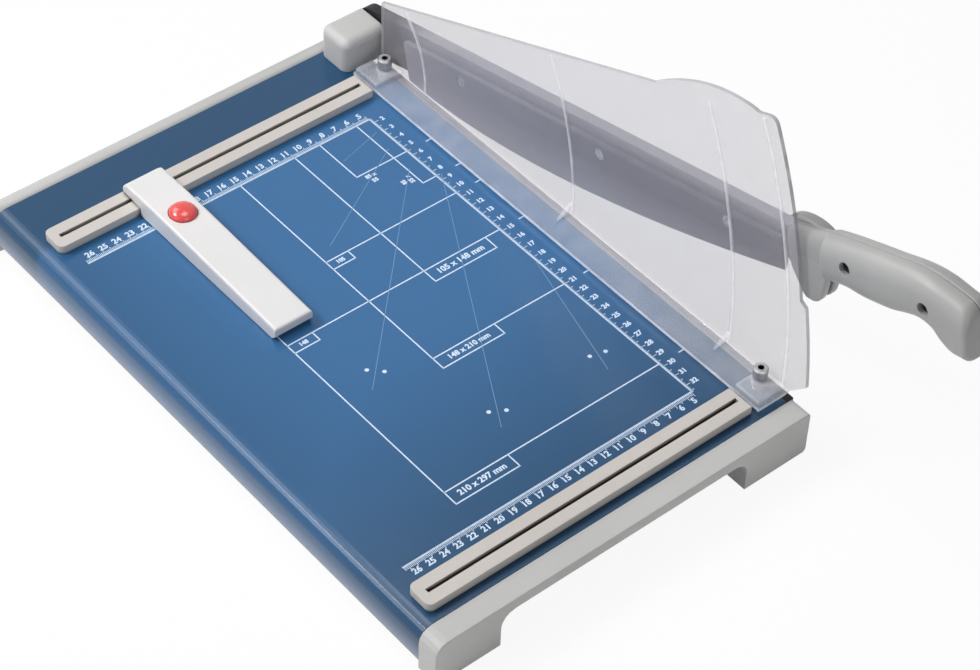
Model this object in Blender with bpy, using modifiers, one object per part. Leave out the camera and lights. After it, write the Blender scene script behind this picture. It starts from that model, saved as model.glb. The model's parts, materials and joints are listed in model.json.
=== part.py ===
# Guillotine paper cutter: sheet-metal table, knife arm, see-through guard that clamps the paper,
# two paper rails and a sliding back stop.
# Lengths are metres. Model axes: x = 0 at the cutting edge and + to its right, y = 0 at the paper
# face of the far rail and + to the pivot end, z = 0 on the table top. The root empty then puts the
# middle of the whole object's footprint at the origin, with the rubber feet on z = 0.

import math

import bmesh
import bpy
from mathutils import Matrix, Vector

# Fits shared by all pieces
SEAT_GAP = 0.0003
RUN_GAP = 0.0006
CUT_OVERRUN = 0.004
WELD = 0.000001
FOLD_ANGLE = math.radians(1)

# Round pieces: facets
FINE_SIDES = 32
ROUND_SIDES = 24
SCREW_SIDES = 12
HEX_SIDES = 6
CORNER_STEPS = 4

# Table
CUT_LENGTH = 0.3415
TABLE_WIDTH = 0.2845
FAR_MARGIN = 0.038
NEAR_MARGIN = 0.0065
DECK_SHEET = 0.002
DECK_BEND = 0.009
APRON_DROP = 0.029
APRON_LIP = 0.012
BASE_HEIGHT = 0.033

# End caps with the feet
CAP_THICKNESS = 0.015
CAP_EDGE_ROUND = 0.0028
CAP_SIDE_GAP = 0.0005
FOOT_LENGTH_LEFT = 0.047
FOOT_LENGTH_RIGHT = 0.050
ARCH_HEADROOM = 0.008
ARCH_ROUND = 0.010
LEDGE_REACH = 0.005
LUG_REACH = 0.012
LEDGE_HEIGHT = 0.006
LEDGE_INSET = 0.030
LIP_LUG_INSET = 0.0052
LIP_LUG_WIDTH = 0.0062
LIP_LUG_HEIGHT = 0.0085
BEAM_LUG_HEIGHT = 0.0035
FOOT_PAD_RADIUS = 0.0055
FOOT_PAD_HEIGHT = 0.0030
FOOT_PAD_STANDOUT = 0.0012

# Knife beam and counter blade
COUNTER_WIDTH = 0.0055
COUNTER_HEIGHT = 0.020
COUNTER_START = 0.026
COUNTER_SCREWS = 4
COUNTER_SCREW_SHARE = 0.5
BEAM_WIDTH = 0.018
BEAM_HEIGHT = 0.016

# Paper rails
RAIL_WIDTH = 0.0195
RAIL_HEIGHT = 0.006
RAIL_LEFT_INSET = 0.012
RAIL_RIGHT_INSET = 0.0290
RAIL_ROUND = 0.004
SLOT_WIDTH = 0.003
SLOT_POCKET_WIDTH = 0.009
SLOT_POCKET_HEIGHT = 0.0026
SLOT_FLOOR = 0.0010
SLOT_END_INSET = 0.006
RAIL_SCREW_INSET = 0.020

# Pivot
PIVOT_BACK = 0.042
PIVOT_HEIGHT = 0.011
ARM_REST_TILT = math.radians(13.1)
BOLT_RADIUS = 0.004
BOLT_HEAD_RADIUS = 0.0075
BOLT_HEAD_HEIGHT = 0.0050
BOLT_RUN = 0.00006
BUSH_WALL = 0.002
WASHER_RADIUS = 0.010
WASHER_THICKNESS = 0.0015
BRACKET_FOOT = 0.003
BRACKET_WALL = 0.0062
BRACKET_WIDTH = 0.0205
BRACKET_REACH = 0.0279
BRACKET_HEAD_ROUND = 0.0095
BRACKET_SCREW_SPREAD = 0.007
BRACKET_SCREW_INSET = 0.0043
DISC_SPRING_RADIUS = 0.0074
DISC_SPRING_HEIGHT = 0.0017
DISC_SPRING_WALL = 0.0007
NUT_RADIUS = 0.0072
NUT_HEIGHT = 0.0065
BOLT_TAIL = 0.0020

# Pivot cap
PIVOT_CAP_WIDTH = 0.0324
PIVOT_CAP_LENGTH = 0.028
PIVOT_CAP_HEIGHT = 0.0250
PIVOT_CAP_BACK = 0.043
PIVOT_CAP_WALL = 0.0018
PIVOT_CAP_ROUND = 0.0060
PIVOT_CAP_PAST_EDGE = 0.0034

# Knife blade
BLADE_SIDE_GAP = 0.0003
BLADE_THICKNESS = 0.0038
BLADE_OVERRUN = 0.0125
BLADE_HEEL_RADIUS = 0.045
BLADE_TIP_ANGLE = math.radians(-1.7)
BLADE_CROSSING = math.radians(11.25)
BLADE_TOP = 0.009
BLADE_BACK_SLANT = 0.003
BLADE_POINTS = 14
BLADE_BEVEL_HEIGHT = 0.004
BLADE_BEVEL_DEPTH = 0.0026
BLADE_SCREW_SHARES = (0.25, 0.592, 0.88)
BLADE_SCREW_HEIGHT = 0.001

# Knife arm
HUB_RADIUS = 0.0175
ARM_THICKNESS = 0.008
ARM_END_HEIGHT = 0.0230
ARM_END_PAST = 0.0012
ARM_TOP_ROUND = 0.0030
TONGUE_HALF_HEIGHT = 0.0075
TONGUE_LENGTH_SHARE = 0.76
TONGUE_STEPS = 6

# Handle
HANDLE_START_GAP = 0.002
HANDLE_LENGTH = 0.158
HANDLE_HEIGHT = 0.045
HANDLE_HALF_WIDTH = 0.013
HANDLE_FULLNESS = 2.6
HANDLE_TAIL_FULLNESS = 4.0
HANDLE_TAIL_SHARES = (0.62, 0.78)
HANDLE_STATIONS = 24
HANDLE_RING = 9
HANDLE_SPLIT_CHAMFER = 0.0008
HANDLE_ROOT_SHARE = 0.54
HANDLE_SHOULDER_SHARES = (0.176, 0.200)
HANDLE_SHOULDER_STEPS = 3
HANDLE_END_ROUNDS = (0.0025, 0.0060, 0.0040)
HANDLE_END_STEPS = 4
# Each row: station, underside, top and half width, as shares of the three sizes above
HANDLE_SECTION_SHARES = (
    (0.000, -0.200, 0.429, 0.900),
    (0.108, -0.205, 0.489, 0.900),
    (0.203, -0.125, 0.551, 0.900),
    (0.297, -0.070, 0.607, 0.900),
    (0.392, -0.085, 0.653, 0.910),
    (0.519, -0.051, 0.700, 0.930),
    (0.614, 0.033, 0.738, 0.950),
    (0.684, 0.075, 0.740, 0.965),
    (0.739, 0.040, 0.718, 0.985),
    (0.785, -0.095, 0.686, 1.000),
    (0.823, -0.165, 0.654, 1.000),
    (0.860, -0.170, 0.618, 1.000),
    (0.905, -0.175, 0.568, 1.000),
)
LUG_LENGTH = 0.032
LUG_DROP = 0.0250
LUG_OUTLINE_SHARES = (
    (0.00, 0.20), (0.06, -0.30), (0.33, -0.91), (0.50, -1.00),
    (0.67, -0.96), (0.81, -0.75), (0.95, -0.20), (0.95, 0.20),
)
LUG_SLOT = 0.0028
THUMB_REST_HALF_LENGTH = 0.0185
THUMB_REST_HALF_HEIGHT = 0.0095
THUMB_REST_STATION_SHARE = 0.058
THUMB_REST_HEIGHT_SHARE = 0.30
THUMB_REST_INNER = 0.0010
THUMB_REST_THICKNESS = 0.0085
HANDLE_SCREW_SHARES = ((0.322, 0.32), (0.704, 0.345))
HANDLE_SCREW_SEAT = 0.0063
HANDLE_SCREW_HEAD_RADIUS = 0.0038
HANDLE_SCREW_HEAD_HEIGHT = 0.0022
HANDLE_SCREW_RADIUS = 0.0020
HANDLE_SCREW_REACH = 0.0065

# Guard, which is the paper clamp too
GUARD_WALL_GAP = 0.0006
GUARD_SHEET = 0.0025
GUARD_BEND = 0.005
GUARD_WIDTH = 0.0262
GUARD_LIFT = 0.0023
GUARD_FAR_OVERHANG = 0.0045
GUARD_NEAR_OVERHANG = 0.0030
GUARD_PAD_HEIGHT = 0.006
GUARD_PAD_ROUND = 0.0015
GUARD_PAD_LIP = 0.0006
GUARD_TOP_AT_PIVOT = 0.033
GUARD_TOP_SLOPE = math.radians(22.06)
GUARD_EDGE_OVERHANG = 0.0152
GUARD_EDGE_FOOT = 0.0185
GUARD_FOOT_FLARE = 0.0085
GUARD_LIP_FLARE = 0.0045
GUARD_LIP_HEIGHT = 0.076
GUARD_LIP_RISE = 0.0035
GUARD_LIP_STEPS = 4
GUARD_CORNER_ROUND = 0.004
GUARD_HUMP_HEIGHT = 0.0094
GUARD_HUMP_SHARES = (0.663, 0.865)
GUARD_HUMP_STEPS = 8
GUARD_HUMP_FULLNESS = 0.8
GUARD_EDGE_STEPS = 11
GUARD_RIM_INSET = 0.0102
GUARD_RIB_SHARES = (0.156, 0.513, 0.863)
GUARD_RIB_WIDTH = 0.0022
GUARD_RIB_HEIGHT = 0.0009
GUARD_RIB_STEPS = 8
GUSSET_SIZE = 0.0065
GUSSET_THICKNESS = 0.0024

# Guard posts and clamp springs
POST_INSET = 0.0100
POST_BACK = 0.0115
POST_FORWARD = 0.0060
POST_RADIUS = 0.0028
POST_HEAD_RADIUS = 0.0064
POST_HEAD_HEIGHT = 0.0070
POST_DEPTH = 0.012
POST_SOCKET_RADIUS = 0.0030
POST_SOCKET_DEPTH = 0.0040
GUARD_RISE = 0.0009
CLAMP_SPRING_RADIUS = 0.0046
CLAMP_SPRING_WIRE = 0.0008
CLAMP_SPRING_TURNS = 3.5
CLAMP_SPRING_HEIGHT = 0.0055
PAD_WELL_RADIUS = 0.0058
PAD_WELL_DEPTH = 0.0040

# Back stop
STOP_PLACE = 0.1855
STOP_WIDTH = 0.028
STOP_LENGTH = 0.141
STOP_NEAR_HEIGHT = 0.0098
STOP_HEAD_HEIGHT = 0.0150
STOP_HEAD_FLAT = 0.020
STOP_BACK_SLANT = 0.004
STOP_WALL = 0.0022
STOP_ROUND = 0.0016
STOP_NOSE = 0.0035
BUTTON_BACK = 0.027
BUTTON_RADIUS = 0.0090
BUTTON_DOME = 0.0048
BUTTON_SKIRT = 0.0014
BUTTON_TRAVEL = 0.003
BUTTON_WALL = 0.0016
BUTTON_STEM_RADIUS = 0.0026
BUTTON_STEM_LENGTH = 0.0125
BUTTON_WELL_GAP = 0.0005
BUTTON_WELL_FLOOR = 0.0016
BUTTON_DOME_STEPS = 7
BUTTON_SPRING_RADIUS = 0.0050
BUTTON_SPRING_WIRE = 0.0006
BUTTON_SPRING_TURNS = 4
SHOE_LENGTH = 0.020
SHOE_NECK_TOP = 0.0030

# Plain screws
PAN_RADIUS = 0.0033
PAN_HEIGHT = 0.0022
PAN_SHANK_RADIUS = 0.0018
PAN_SHANK_LENGTH = 0.0070
SINK_RADIUS = 0.0040
SINK_HEIGHT = 0.0024
SINK_SHANK_RADIUS = 0.0020
SINK_SHANK_LENGTH = 0.0115
BLADE_SCREW_SHANK = 0.0098
SOCKET_SHARE = 0.55
SOCKET_DEPTH_SHARE = 0.6
SPRING_POINTS = 8

# Places worked out from the sizes above
deck_top_under = -DECK_SHEET
deck_left = -TABLE_WIDTH
deck_right = -(COUNTER_WIDTH + SEAT_GAP)
deck_far = RAIL_WIDTH + FAR_MARGIN
near_rail_face = -CUT_LENGTH
lip_top = DECK_SHEET - APRON_DROP
deck_near = near_rail_face - RAIL_WIDTH - NEAR_MARGIN
cap_faces = (("far", deck_far, 1), ("near", deck_near, -1))
foot_bottom = -BASE_HEIGHT
rest_plane = foot_bottom - FOOT_PAD_STANDOUT
counter_end = deck_near + RUN_GAP
beam_right = deck_right
beam_left = beam_right - BEAM_WIDTH
beam_top = deck_top_under - SEAT_GAP
rail_left = deck_left + RAIL_LEFT_INSET
rail_right = -RAIL_RIGHT_INSET
rail_base = SEAT_GAP
rail_top = rail_base + RAIL_HEIGHT
blade_reach = PIVOT_BACK + CUT_LENGTH + BLADE_OVERRUN
blade_left = BLADE_SIDE_GAP
arm_left = blade_left + BLADE_THICKNESS + SEAT_GAP
arm_right = arm_left + ARM_THICKNESS
arm_middle = (arm_left + arm_right) / 2
handle_start = blade_reach + HANDLE_START_GAP
guard_edge_radius = blade_reach + GUARD_EDGE_OVERHANG
guard_right = -GUARD_WALL_GAP
guard_left = -GUARD_WIDTH
guard_far = RAIL_WIDTH + GUARD_FAR_OVERHANG
guard_near = near_rail_face - RAIL_WIDTH - GUARD_NEAR_OVERHANG
pad_top = GUARD_LIFT + GUARD_PAD_HEIGHT
post_places = (("far", POST_BACK), ("near", near_rail_face - POST_FORWARD))
stop_right = -STOP_PLACE
stop_left = stop_right - STOP_WIDTH
stop_middle = (stop_left + stop_right) / 2
washer_left = arm_right + RUN_GAP
bolt_head_left = washer_left + WASHER_THICKNESS + SEAT_GAP
bracket_right = PIVOT_CAP_PAST_EDGE
bracket_left = bracket_right - BRACKET_WALL

# Colours, roughness and metallic share of each material
FINISHES = {
    "blue_paint": ((0.045, 0.150, 0.335, 1), 0.45, 0.0),
    "grey_plastic": ((0.42, 0.415, 0.40, 1), 0.55, 0.0),
    "handle_grey": ((0.40, 0.40, 0.39, 1), 0.50, 0.0),
    "rail_plastic": ((0.66, 0.64, 0.61, 1), 0.50, 0.0),
    "stop_plastic": ((0.78, 0.77, 0.76, 1), 0.45, 0.0),
    "red_plastic": ((0.62, 0.03, 0.03, 1), 0.30, 0.0),
    "clear_plastic": ((0.80, 0.80, 0.84, 0.35), 0.12, 0.0),
    "dark_metal": ((0.045, 0.050, 0.060, 1), 0.40, 0.6),
    "ground_steel": ((0.42, 0.43, 0.45, 1), 0.28, 1.0),
    "zinc": ((0.62, 0.62, 0.62, 1), 0.30, 1.0),
    "brass": ((0.70, 0.50, 0.20, 1), 0.35, 1.0),
    "rubber": ((0.02, 0.02, 0.02, 1), 0.90, 0.0),
}


def clear_scene():
    for old in list(bpy.data.objects):
        bpy.data.objects.remove(old)


def new_collection(name):
    collection = bpy.data.collections.new(name)
    bpy.context.scene.collection.children.link(collection)
    return collection


def make_materials():
    materials = {}
    for name, (colour, roughness, metallic) in FINISHES.items():
        material = bpy.data.materials.new(name)
        material.use_nodes = True
        shader = material.node_tree.nodes["Principled BSDF"]
        shader.inputs["Base Color"].default_value = colour
        shader.inputs["Roughness"].default_value = roughness
        shader.inputs["Metallic"].default_value = metallic
        shader.inputs["Alpha"].default_value = colour[3]
        materials[name] = material
    return materials


clear_scene()
PARTS = new_collection("paper_cutter")
CUTTERS = new_collection("cutters")
MATERIALS = make_materials()


def new_empty(name, place, parent=None):
    empty = bpy.data.objects.new(name, None)
    PARTS.objects.link(empty)
    empty.location = place
    empty.parent = parent
    return empty


def hang(piece, carrier):
    """Parents a piece, placed in model axes, to its carrier."""
    piece.parent = carrier
    piece.location = Vector(piece.location) - Vector(carrier["model_place"])
    return piece


def finish(piece, name, finish_name, carrier):
    """Names a finished piece, gives it its material and hangs it on its carrier."""
    piece.name = name
    piece.data.name = name
    piece.data.materials.clear()
    piece.data.materials.append(MATERIALS[finish_name])
    PARTS.objects.link(piece)
    piece.data.shade_smooth()
    piece.data.set_sharp_from_angle(angle=math.radians(35))
    return hang(piece, carrier)


def as_cutter(piece, name, carrier):
    piece.name = name
    piece.hide_render = True
    piece.display_type = "WIRE"
    CUTTERS.objects.link(piece)
    return hang(piece, carrier)


def combine(piece, tool, operation):
    """Adds a Boolean; the tool is a hidden guide in the cutters collection."""
    boolean = piece.modifiers.new(operation.lower(), "BOOLEAN")
    boolean.operation = operation
    boolean.solver = "EXACT"
    boolean.object = tool
    return piece


def cut(piece, tool):
    return combine(piece, tool, "DIFFERENCE")


def join(piece, tool):
    return combine(piece, tool, "UNION")


def mesh_object(name, bm):
    mesh = bpy.data.meshes.new(name)
    bm.to_mesh(mesh)
    bm.free()
    return bpy.data.objects.new(name, mesh)


def box(low, high):
    """A box between two corners, with its origin at its middle."""
    bm = bmesh.new()
    bmesh.ops.create_cube(bm, size=1)
    bmesh.ops.scale(bm, vec=Vector(high) - Vector(low), verts=bm.verts)
    piece = mesh_object("box", bm)
    piece.location = (Vector(low) + Vector(high)) / 2
    return piece


def turn_to(direction):
    """The rotation that turns local +Z to a direction."""
    return Vector((0, 0, 1)).rotation_difference(Vector(direction))


def rod(start, direction, length, radius, sides=ROUND_SIDES):
    """A cylinder that starts at a point and runs along a direction."""
    bm = bmesh.new()
    bmesh.ops.create_cone(
        bm, cap_ends=True, segments=sides, radius1=radius, radius2=radius, depth=length
    )
    turn = turn_to(direction)
    bmesh.ops.rotate(bm, matrix=turn.to_matrix(), verts=bm.verts)
    piece = mesh_object("rod", bm)
    piece.location = Vector(start) + Vector(direction).normalized() * (length / 2)
    return piece


def turned(profile, place, direction, sides=ROUND_SIDES):
    """A profile of (radius, height) points turned round an axis, listed from top to bottom."""
    mesh = bpy.data.meshes.new("turned")
    points = [(radius, 0, height) for radius, height in profile]
    edges = [(i, i + 1) for i in range(len(points) - 1)]
    if profile[0][0] > 0 and profile[-1][0] > 0:
        edges.append((len(points) - 1, 0))
    mesh.from_pydata(points, edges, [])
    piece = bpy.data.objects.new("turned", mesh)
    piece.location = place
    piece.rotation_mode = "QUATERNION"
    piece.rotation_quaternion = turn_to(direction)
    screw = piece.modifiers.new("turn", "SCREW")
    screw.steps = sides
    screw.render_steps = sides
    screw.use_merge_vertices = True
    screw.merge_threshold = WELD
    return piece


def side_plate(outline, left, thickness):
    """A flat plate from (reach towards -Y, height) points, between x = left and left + thickness."""
    return flat_plate(outline, thickness, Vector((left + thickness / 2, 0, 0)),
                      (math.radians(90), 0, math.radians(-90)))


def front_plate(outline, far, thickness):
    """A flat plate from (x, z) points, between y = far - thickness and far."""
    return flat_plate(outline, thickness, Vector((0, far - thickness / 2, 0)),
                      (math.radians(90), 0, 0))


def plan_plate(outline, bottom, thickness):
    """A flat plate from (x, y) points, standing on z = bottom."""
    return flat_plate(outline, thickness, Vector((0, 0, bottom + thickness / 2)), (0, 0, 0))


def flat_plate(outline, thickness, place, rotation):
    """A filled 2D curve, extruded by half its thickness each way and made a welded mesh."""
    curve = bpy.data.curves.new("outline", "CURVE")
    curve.dimensions = "2D"
    curve.fill_mode = "BOTH"
    curve.extrude = thickness / 2
    spline = curve.splines.new("POLY")
    spline.points.add(len(outline) - 1)
    for point, (across, up) in zip(spline.points, outline):
        point.co = (across, up, 0, 1)
    spline.use_cyclic_u = True
    holder = bpy.data.objects.new("outline", curve)
    holder.location = place
    holder.rotation_euler = rotation
    return welded_mesh(holder)


def welded_mesh(holder):
    """Replaces a curve object by its evaluated mesh, with the loose caps welded on."""
    CUTTERS.objects.link(holder)
    bpy.context.view_layer.update()
    evaluated = holder.evaluated_get(bpy.context.evaluated_depsgraph_get())
    mesh = bpy.data.meshes.new_from_object(evaluated)
    bm = bmesh.new()
    bm.from_mesh(mesh)
    bmesh.ops.remove_doubles(bm, verts=bm.verts, dist=WELD)
    bmesh.ops.recalc_face_normals(bm, faces=bm.faces)
    bm.to_mesh(mesh)
    bm.free()
    piece = bpy.data.objects.new("plate", mesh)
    piece.matrix_world = holder.matrix_world.copy()
    bpy.data.objects.remove(holder)
    return piece


def lofted(sections):
    """A closed solid through sections that have the same number of points."""
    bm = bmesh.new()
    rings = [[bm.verts.new(point) for point in section] for section in sections]
    count = len(rings[0])
    for ring, following in zip(rings, rings[1:]):
        for i in range(count):
            j = (i + 1) % count
            bm.faces.new((ring[i], ring[j], following[j], following[i]))
    bm.faces.new(rings[0])
    bm.faces.new(list(reversed(rings[-1])))
    bmesh.ops.recalc_face_normals(bm, faces=bm.faces)
    return mesh_object("loft", bm)


def rounded(corners, radii):
    """An outline whose corners are arcs; a radius of zero keeps the corner sharp."""
    outline = []
    count = len(corners)
    for i, radius in enumerate(radii):
        corner = Vector(corners[i])
        before = (Vector(corners[i - 1]) - corner).normalized()
        after = (Vector(corners[(i + 1) % count]) - corner).normalized()
        if radius == 0:
            outline.append(tuple(corner))
            continue
        half = before.angle(after) / 2
        centre = corner + (before + after).normalized() * (radius / math.sin(half))
        start = corner + before * (radius / math.tan(half)) - centre
        sweep = start.angle_signed(corner + after * (radius / math.tan(half)) - centre)
        for step in range(CORNER_STEPS + 1):
            turn = Matrix.Rotation(-sweep * step / CORNER_STEPS, 2)
            outline.append(tuple(centre + turn @ start))
    return outline


def round_edges(piece, width, segments, chosen):
    """Bevels the folded edges whose two ends both pass a test on their local place."""
    mesh = piece.data
    bm = bmesh.new()
    bm.from_mesh(mesh)
    folded = [edge.calc_face_angle(0) > FOLD_ANGLE for edge in bm.edges]
    bm.free()
    weights = mesh.attributes.new("bevel_weight_edge", "FLOAT", "EDGE")
    for edge in mesh.edges:
        ends = [mesh.vertices[i].co for i in edge.vertices]
        picked = folded[edge.index] and chosen(ends[0], ends[1])
        weights.data[edge.index].value = 1.0 if picked else 0.0
    bevel = piece.modifiers.new("round", "BEVEL")
    bevel.limit_method = "WEIGHT"
    bevel.width = width
    bevel.segments = segments
    weld = piece.modifiers.new("weld", "WELD")
    weld.merge_threshold = WELD
    return piece


def socket(piece, place, direction, radius, depth, carrier):
    """Cuts a hexagonal key socket into a screw head from the place against the direction."""
    start = Vector(place) + Vector(direction) * CUT_OVERRUN
    back = -Vector(direction)
    tool = rod(start, back, CUT_OVERRUN + depth, radius, HEX_SIDES)
    return cut(piece, as_cutter(tool, "key_socket", carrier))


def pan_screw(name, place, direction, carrier, finish_name="zinc"):
    """A pan-head screw; the place is under its head and the direction runs out of the head."""
    profile = (
        (0, PAN_HEIGHT), (PAN_RADIUS - PAN_HEIGHT / 3, PAN_HEIGHT),
        (PAN_RADIUS, PAN_HEIGHT * 2 / 3), (PAN_RADIUS, 0),
        (PAN_SHANK_RADIUS, 0), (PAN_SHANK_RADIUS, -PAN_SHANK_LENGTH), (0, -PAN_SHANK_LENGTH),
    )
    piece = turned(profile, place, direction, SCREW_SIDES)
    top = Vector(place) + Vector(direction) * PAN_HEIGHT
    socket(piece, top, direction, PAN_RADIUS * SOCKET_SHARE, PAN_HEIGHT * SOCKET_DEPTH_SHARE, carrier)
    return finish(piece, name, finish_name, carrier)


def sunk_screw(name, place, direction, shank, finish_name, carrier):
    """A countersunk screw; the place is the middle of its flat top."""
    profile = (
        (0, 0), (SINK_RADIUS, 0), (SINK_SHANK_RADIUS, -SINK_HEIGHT),
        (SINK_SHANK_RADIUS, -shank), (0, -shank),
    )
    piece = turned(profile, place, direction, SCREW_SIDES)
    socket(piece, place, direction, SINK_RADIUS * SOCKET_SHARE, SINK_HEIGHT * SOCKET_DEPTH_SHARE, carrier)
    return finish(piece, name, finish_name, carrier)


def sunk_hole(place, direction, shank, carrier):
    """The tool for a countersunk screw's hole, with a seat gap all round."""
    wide = SINK_RADIUS + SEAT_GAP
    narrow = SINK_SHANK_RADIUS + SEAT_GAP
    profile = (
        (0, CUT_OVERRUN), (wide, CUT_OVERRUN), (wide, -SEAT_GAP),
        (narrow, -SEAT_GAP - SINK_HEIGHT), (narrow, -shank - SEAT_GAP), (0, -shank - SEAT_GAP),
    )
    return as_cutter(turned(profile, place, direction, SCREW_SIDES), "sunk_hole", carrier)


def coil(name, base, radius, wire, turns, height, finish_name, carrier):
    """A compression spring of round wire, standing on its base along +Z."""
    steps = int(turns * SPRING_POINTS)
    rise = height - wire
    points = []
    for i in range(steps + 1):
        angle = 2 * math.pi * i / SPRING_POINTS
        lift = wire / 2 + rise * i / steps
        points.append((radius * math.cos(angle), radius * math.sin(angle), lift))
    print(name, "least gap between curls (mm):", round((rise / turns - wire) * 1000, 2))
    curve = bpy.data.curves.new("spring", "CURVE")
    curve.dimensions = "3D"
    curve.bevel_depth = wire / 2
    curve.bevel_resolution = 1
    curve.use_fill_caps = True
    spline = curve.splines.new("POLY")
    spline.points.add(len(points) - 1)
    for point, place in zip(spline.points, points):
        point.co = (*place, 1)
    holder = bpy.data.objects.new("spring", curve)
    holder.location = base
    return finish(welded_mesh(holder), name, finish_name, carrier)


def arc(centre, radius, start, end, steps):
    """Points on an arc in the plane of reach and height."""
    points = []
    for i in range(steps + 1):
        angle = start + (end - start) * i / steps
        points.append((centre[0] + radius * math.cos(angle), centre[1] + radius * math.sin(angle)))
    return points


# Table, end caps and feet

def bend_points(middle_x, middle_z, radius, start, end):
    return arc((middle_x, middle_z), radius, math.radians(start), math.radians(end), CORNER_STEPS + 2)


def table_deck(base, holes):
    """The folded sheet: a flat top that bends down into the left apron and its inward lip."""
    bend = DECK_BEND - DECK_SHEET / 2
    middle = -DECK_SHEET / 2
    left = deck_left + DECK_SHEET / 2
    lip_bend = DECK_SHEET * 2
    lip_level = -APRON_DROP + DECK_SHEET / 2
    profile = [(deck_right, middle)]
    profile += bend_points(left + bend, middle - bend, bend, 90, 180)
    profile += bend_points(left + lip_bend, lip_level + lip_bend, lip_bend, 180, 270)
    profile.append((left + APRON_LIP, lip_level))
    far = deck_far - SEAT_GAP
    near = deck_near + SEAT_GAP
    bm = bmesh.new()
    verts = [bm.verts.new((x, far, z)) for x, z in profile]
    edges = [bm.edges.new((a, b)) for a, b in zip(verts, verts[1:])]
    swept = bmesh.ops.extrude_edge_only(bm, edges=edges)
    moved = [v for v in swept["geom"] if isinstance(v, bmesh.types.BMVert)]
    bmesh.ops.translate(bm, vec=(0, near - far, 0), verts=moved)
    bmesh.ops.recalc_face_normals(bm, faces=bm.faces)
    deck = mesh_object("deck", bm)
    shell = deck.modifiers.new("sheet", "SOLIDIFY")
    shell.thickness = DECK_SHEET
    shell.offset = 0
    shell.use_even_offset = True
    for x, y, radius in holes:
        tool = rod((x, y, CUT_OVERRUN), (0, 0, -1), CUT_OVERRUN * 2 + DECK_SHEET, radius, SCREW_SIDES)
        cut(deck, as_cutter(tool, "deck_hole", base))
    for _, inner, outward in cap_faces:
        x, y, level = cap_screw_places(inner, outward)[0]
        tool = rod((x, y, level - CUT_OVERRUN), (0, 0, 1), CUT_OVERRUN * 2 + DECK_SHEET,
                   PAN_SHANK_RADIUS + SEAT_GAP, SCREW_SIDES)
        cut(deck, as_cutter(tool, "lip_hole", base))
    return finish(deck, "table_deck", "blue_paint", base)


def cap_outline():
    """Front view of an end cap: flat top, rounded left shoulder, two feet and the arch between."""
    left = deck_left - CAP_SIDE_GAP
    right = -CAP_SIDE_GAP
    arch_left = left + FOOT_LENGTH_LEFT
    arch_right = right - FOOT_LENGTH_RIGHT
    arch_top = -ARCH_HEADROOM
    corners = (
        (left, 0), (right, 0), (right, foot_bottom), (arch_right, foot_bottom),
        (arch_right, arch_top), (arch_left, arch_top), (arch_left, foot_bottom), (left, foot_bottom),
    )
    small = CAP_EDGE_ROUND
    radii = (DECK_BEND, small, small, 0, ARCH_ROUND, ARCH_ROUND, 0, small)
    return rounded(corners, radii)


def foot_middles():
    left = deck_left - CAP_SIDE_GAP + FOOT_LENGTH_LEFT / 2
    right = -CAP_SIDE_GAP - FOOT_LENGTH_RIGHT / 2
    return (("left", left), ("right", right))


def end_cap(name, inner, outward, base):
    """One end of the base: a moulded plate with feet and a ledge that the deck rests on."""
    outer = inner + outward * CAP_THICKNESS
    cap = front_plate(cap_outline(), max(inner, outer), CAP_THICKNESS)
    rotation = cap.matrix_world.to_3x3()

    def on_outer_face(first, second):
        ends = [rotation @ first, rotation @ second]
        half = CAP_THICKNESS / 2 - WELD
        return all(end.y * outward > half for end in ends)

    round_edges(cap, CAP_EDGE_ROUND, 2, on_outer_face)
    ledge_y = sorted((inner - outward * LEDGE_REACH, inner + outward * CAP_EDGE_ROUND))
    lug_y = sorted((inner - outward * LUG_REACH, inner + outward * CAP_EDGE_ROUND))
    ledge_top = deck_top_under - SEAT_GAP
    ledge = box(
        (deck_left + LEDGE_INSET, ledge_y[0], ledge_top - LEDGE_HEIGHT),
        (beam_left - LEDGE_INSET / 2, ledge_y[1], ledge_top),
    )
    join(cap, as_cutter(ledge, name + "_ledge", base))
    for _, x in foot_middles():
        depth = FOOT_PAD_HEIGHT - FOOT_PAD_STANDOUT + SEAT_GAP
        start = (x, (inner + outer) / 2, foot_bottom + depth)
        tool = rod(start, (0, 0, -1), depth + CUT_OVERRUN, FOOT_PAD_RADIUS + SEAT_GAP)
        cut(cap, as_cutter(tool, name + "_pad_seat", base))
    lip_lug = box(
        (deck_left + LIP_LUG_INSET, lug_y[0], lip_top + SEAT_GAP),
        (deck_left + LIP_LUG_INSET + LIP_LUG_WIDTH, lug_y[1], lip_top + SEAT_GAP + LIP_LUG_HEIGHT),
    )
    join(cap, as_cutter(lip_lug, name + "_lip_lug", base))
    beam_lug_top = beam_top - BEAM_HEIGHT - SEAT_GAP
    beam_lug = box(
        (beam_left, lug_y[0], beam_lug_top - BEAM_LUG_HEIGHT),
        (beam_right, lug_y[1], beam_lug_top),
    )
    join(cap, as_cutter(beam_lug, name + "_beam_lug", base))
    for x, y, level in cap_screw_places(inner, outward):
        start = (x, y, level - CUT_OVERRUN)
        length = PAN_SHANK_LENGTH + SEAT_GAP + CUT_OVERRUN
        tool = rod(start, (0, 0, 1), length, PAN_SHANK_RADIUS + SEAT_GAP, SCREW_SIDES)
        cut(cap, as_cutter(tool, name + "_screw_hole", base))
    return finish(cap, name, "grey_plastic", base)


def cap_screw_places(inner, outward):
    """Under-head places of the two screws: up through the deck's lip, and up into the beam."""
    y = inner - outward * LUG_REACH / 2
    lip_x = deck_left + LIP_LUG_INSET + LIP_LUG_WIDTH / 2
    lip_level = -APRON_DROP - SEAT_GAP
    beam_x = (beam_left + beam_right) / 2
    beam_level = beam_top - BEAM_HEIGHT - SEAT_GAP * 2 - BEAM_LUG_HEIGHT
    return ((lip_x, y, lip_level), (beam_x, y, beam_level))


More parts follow.
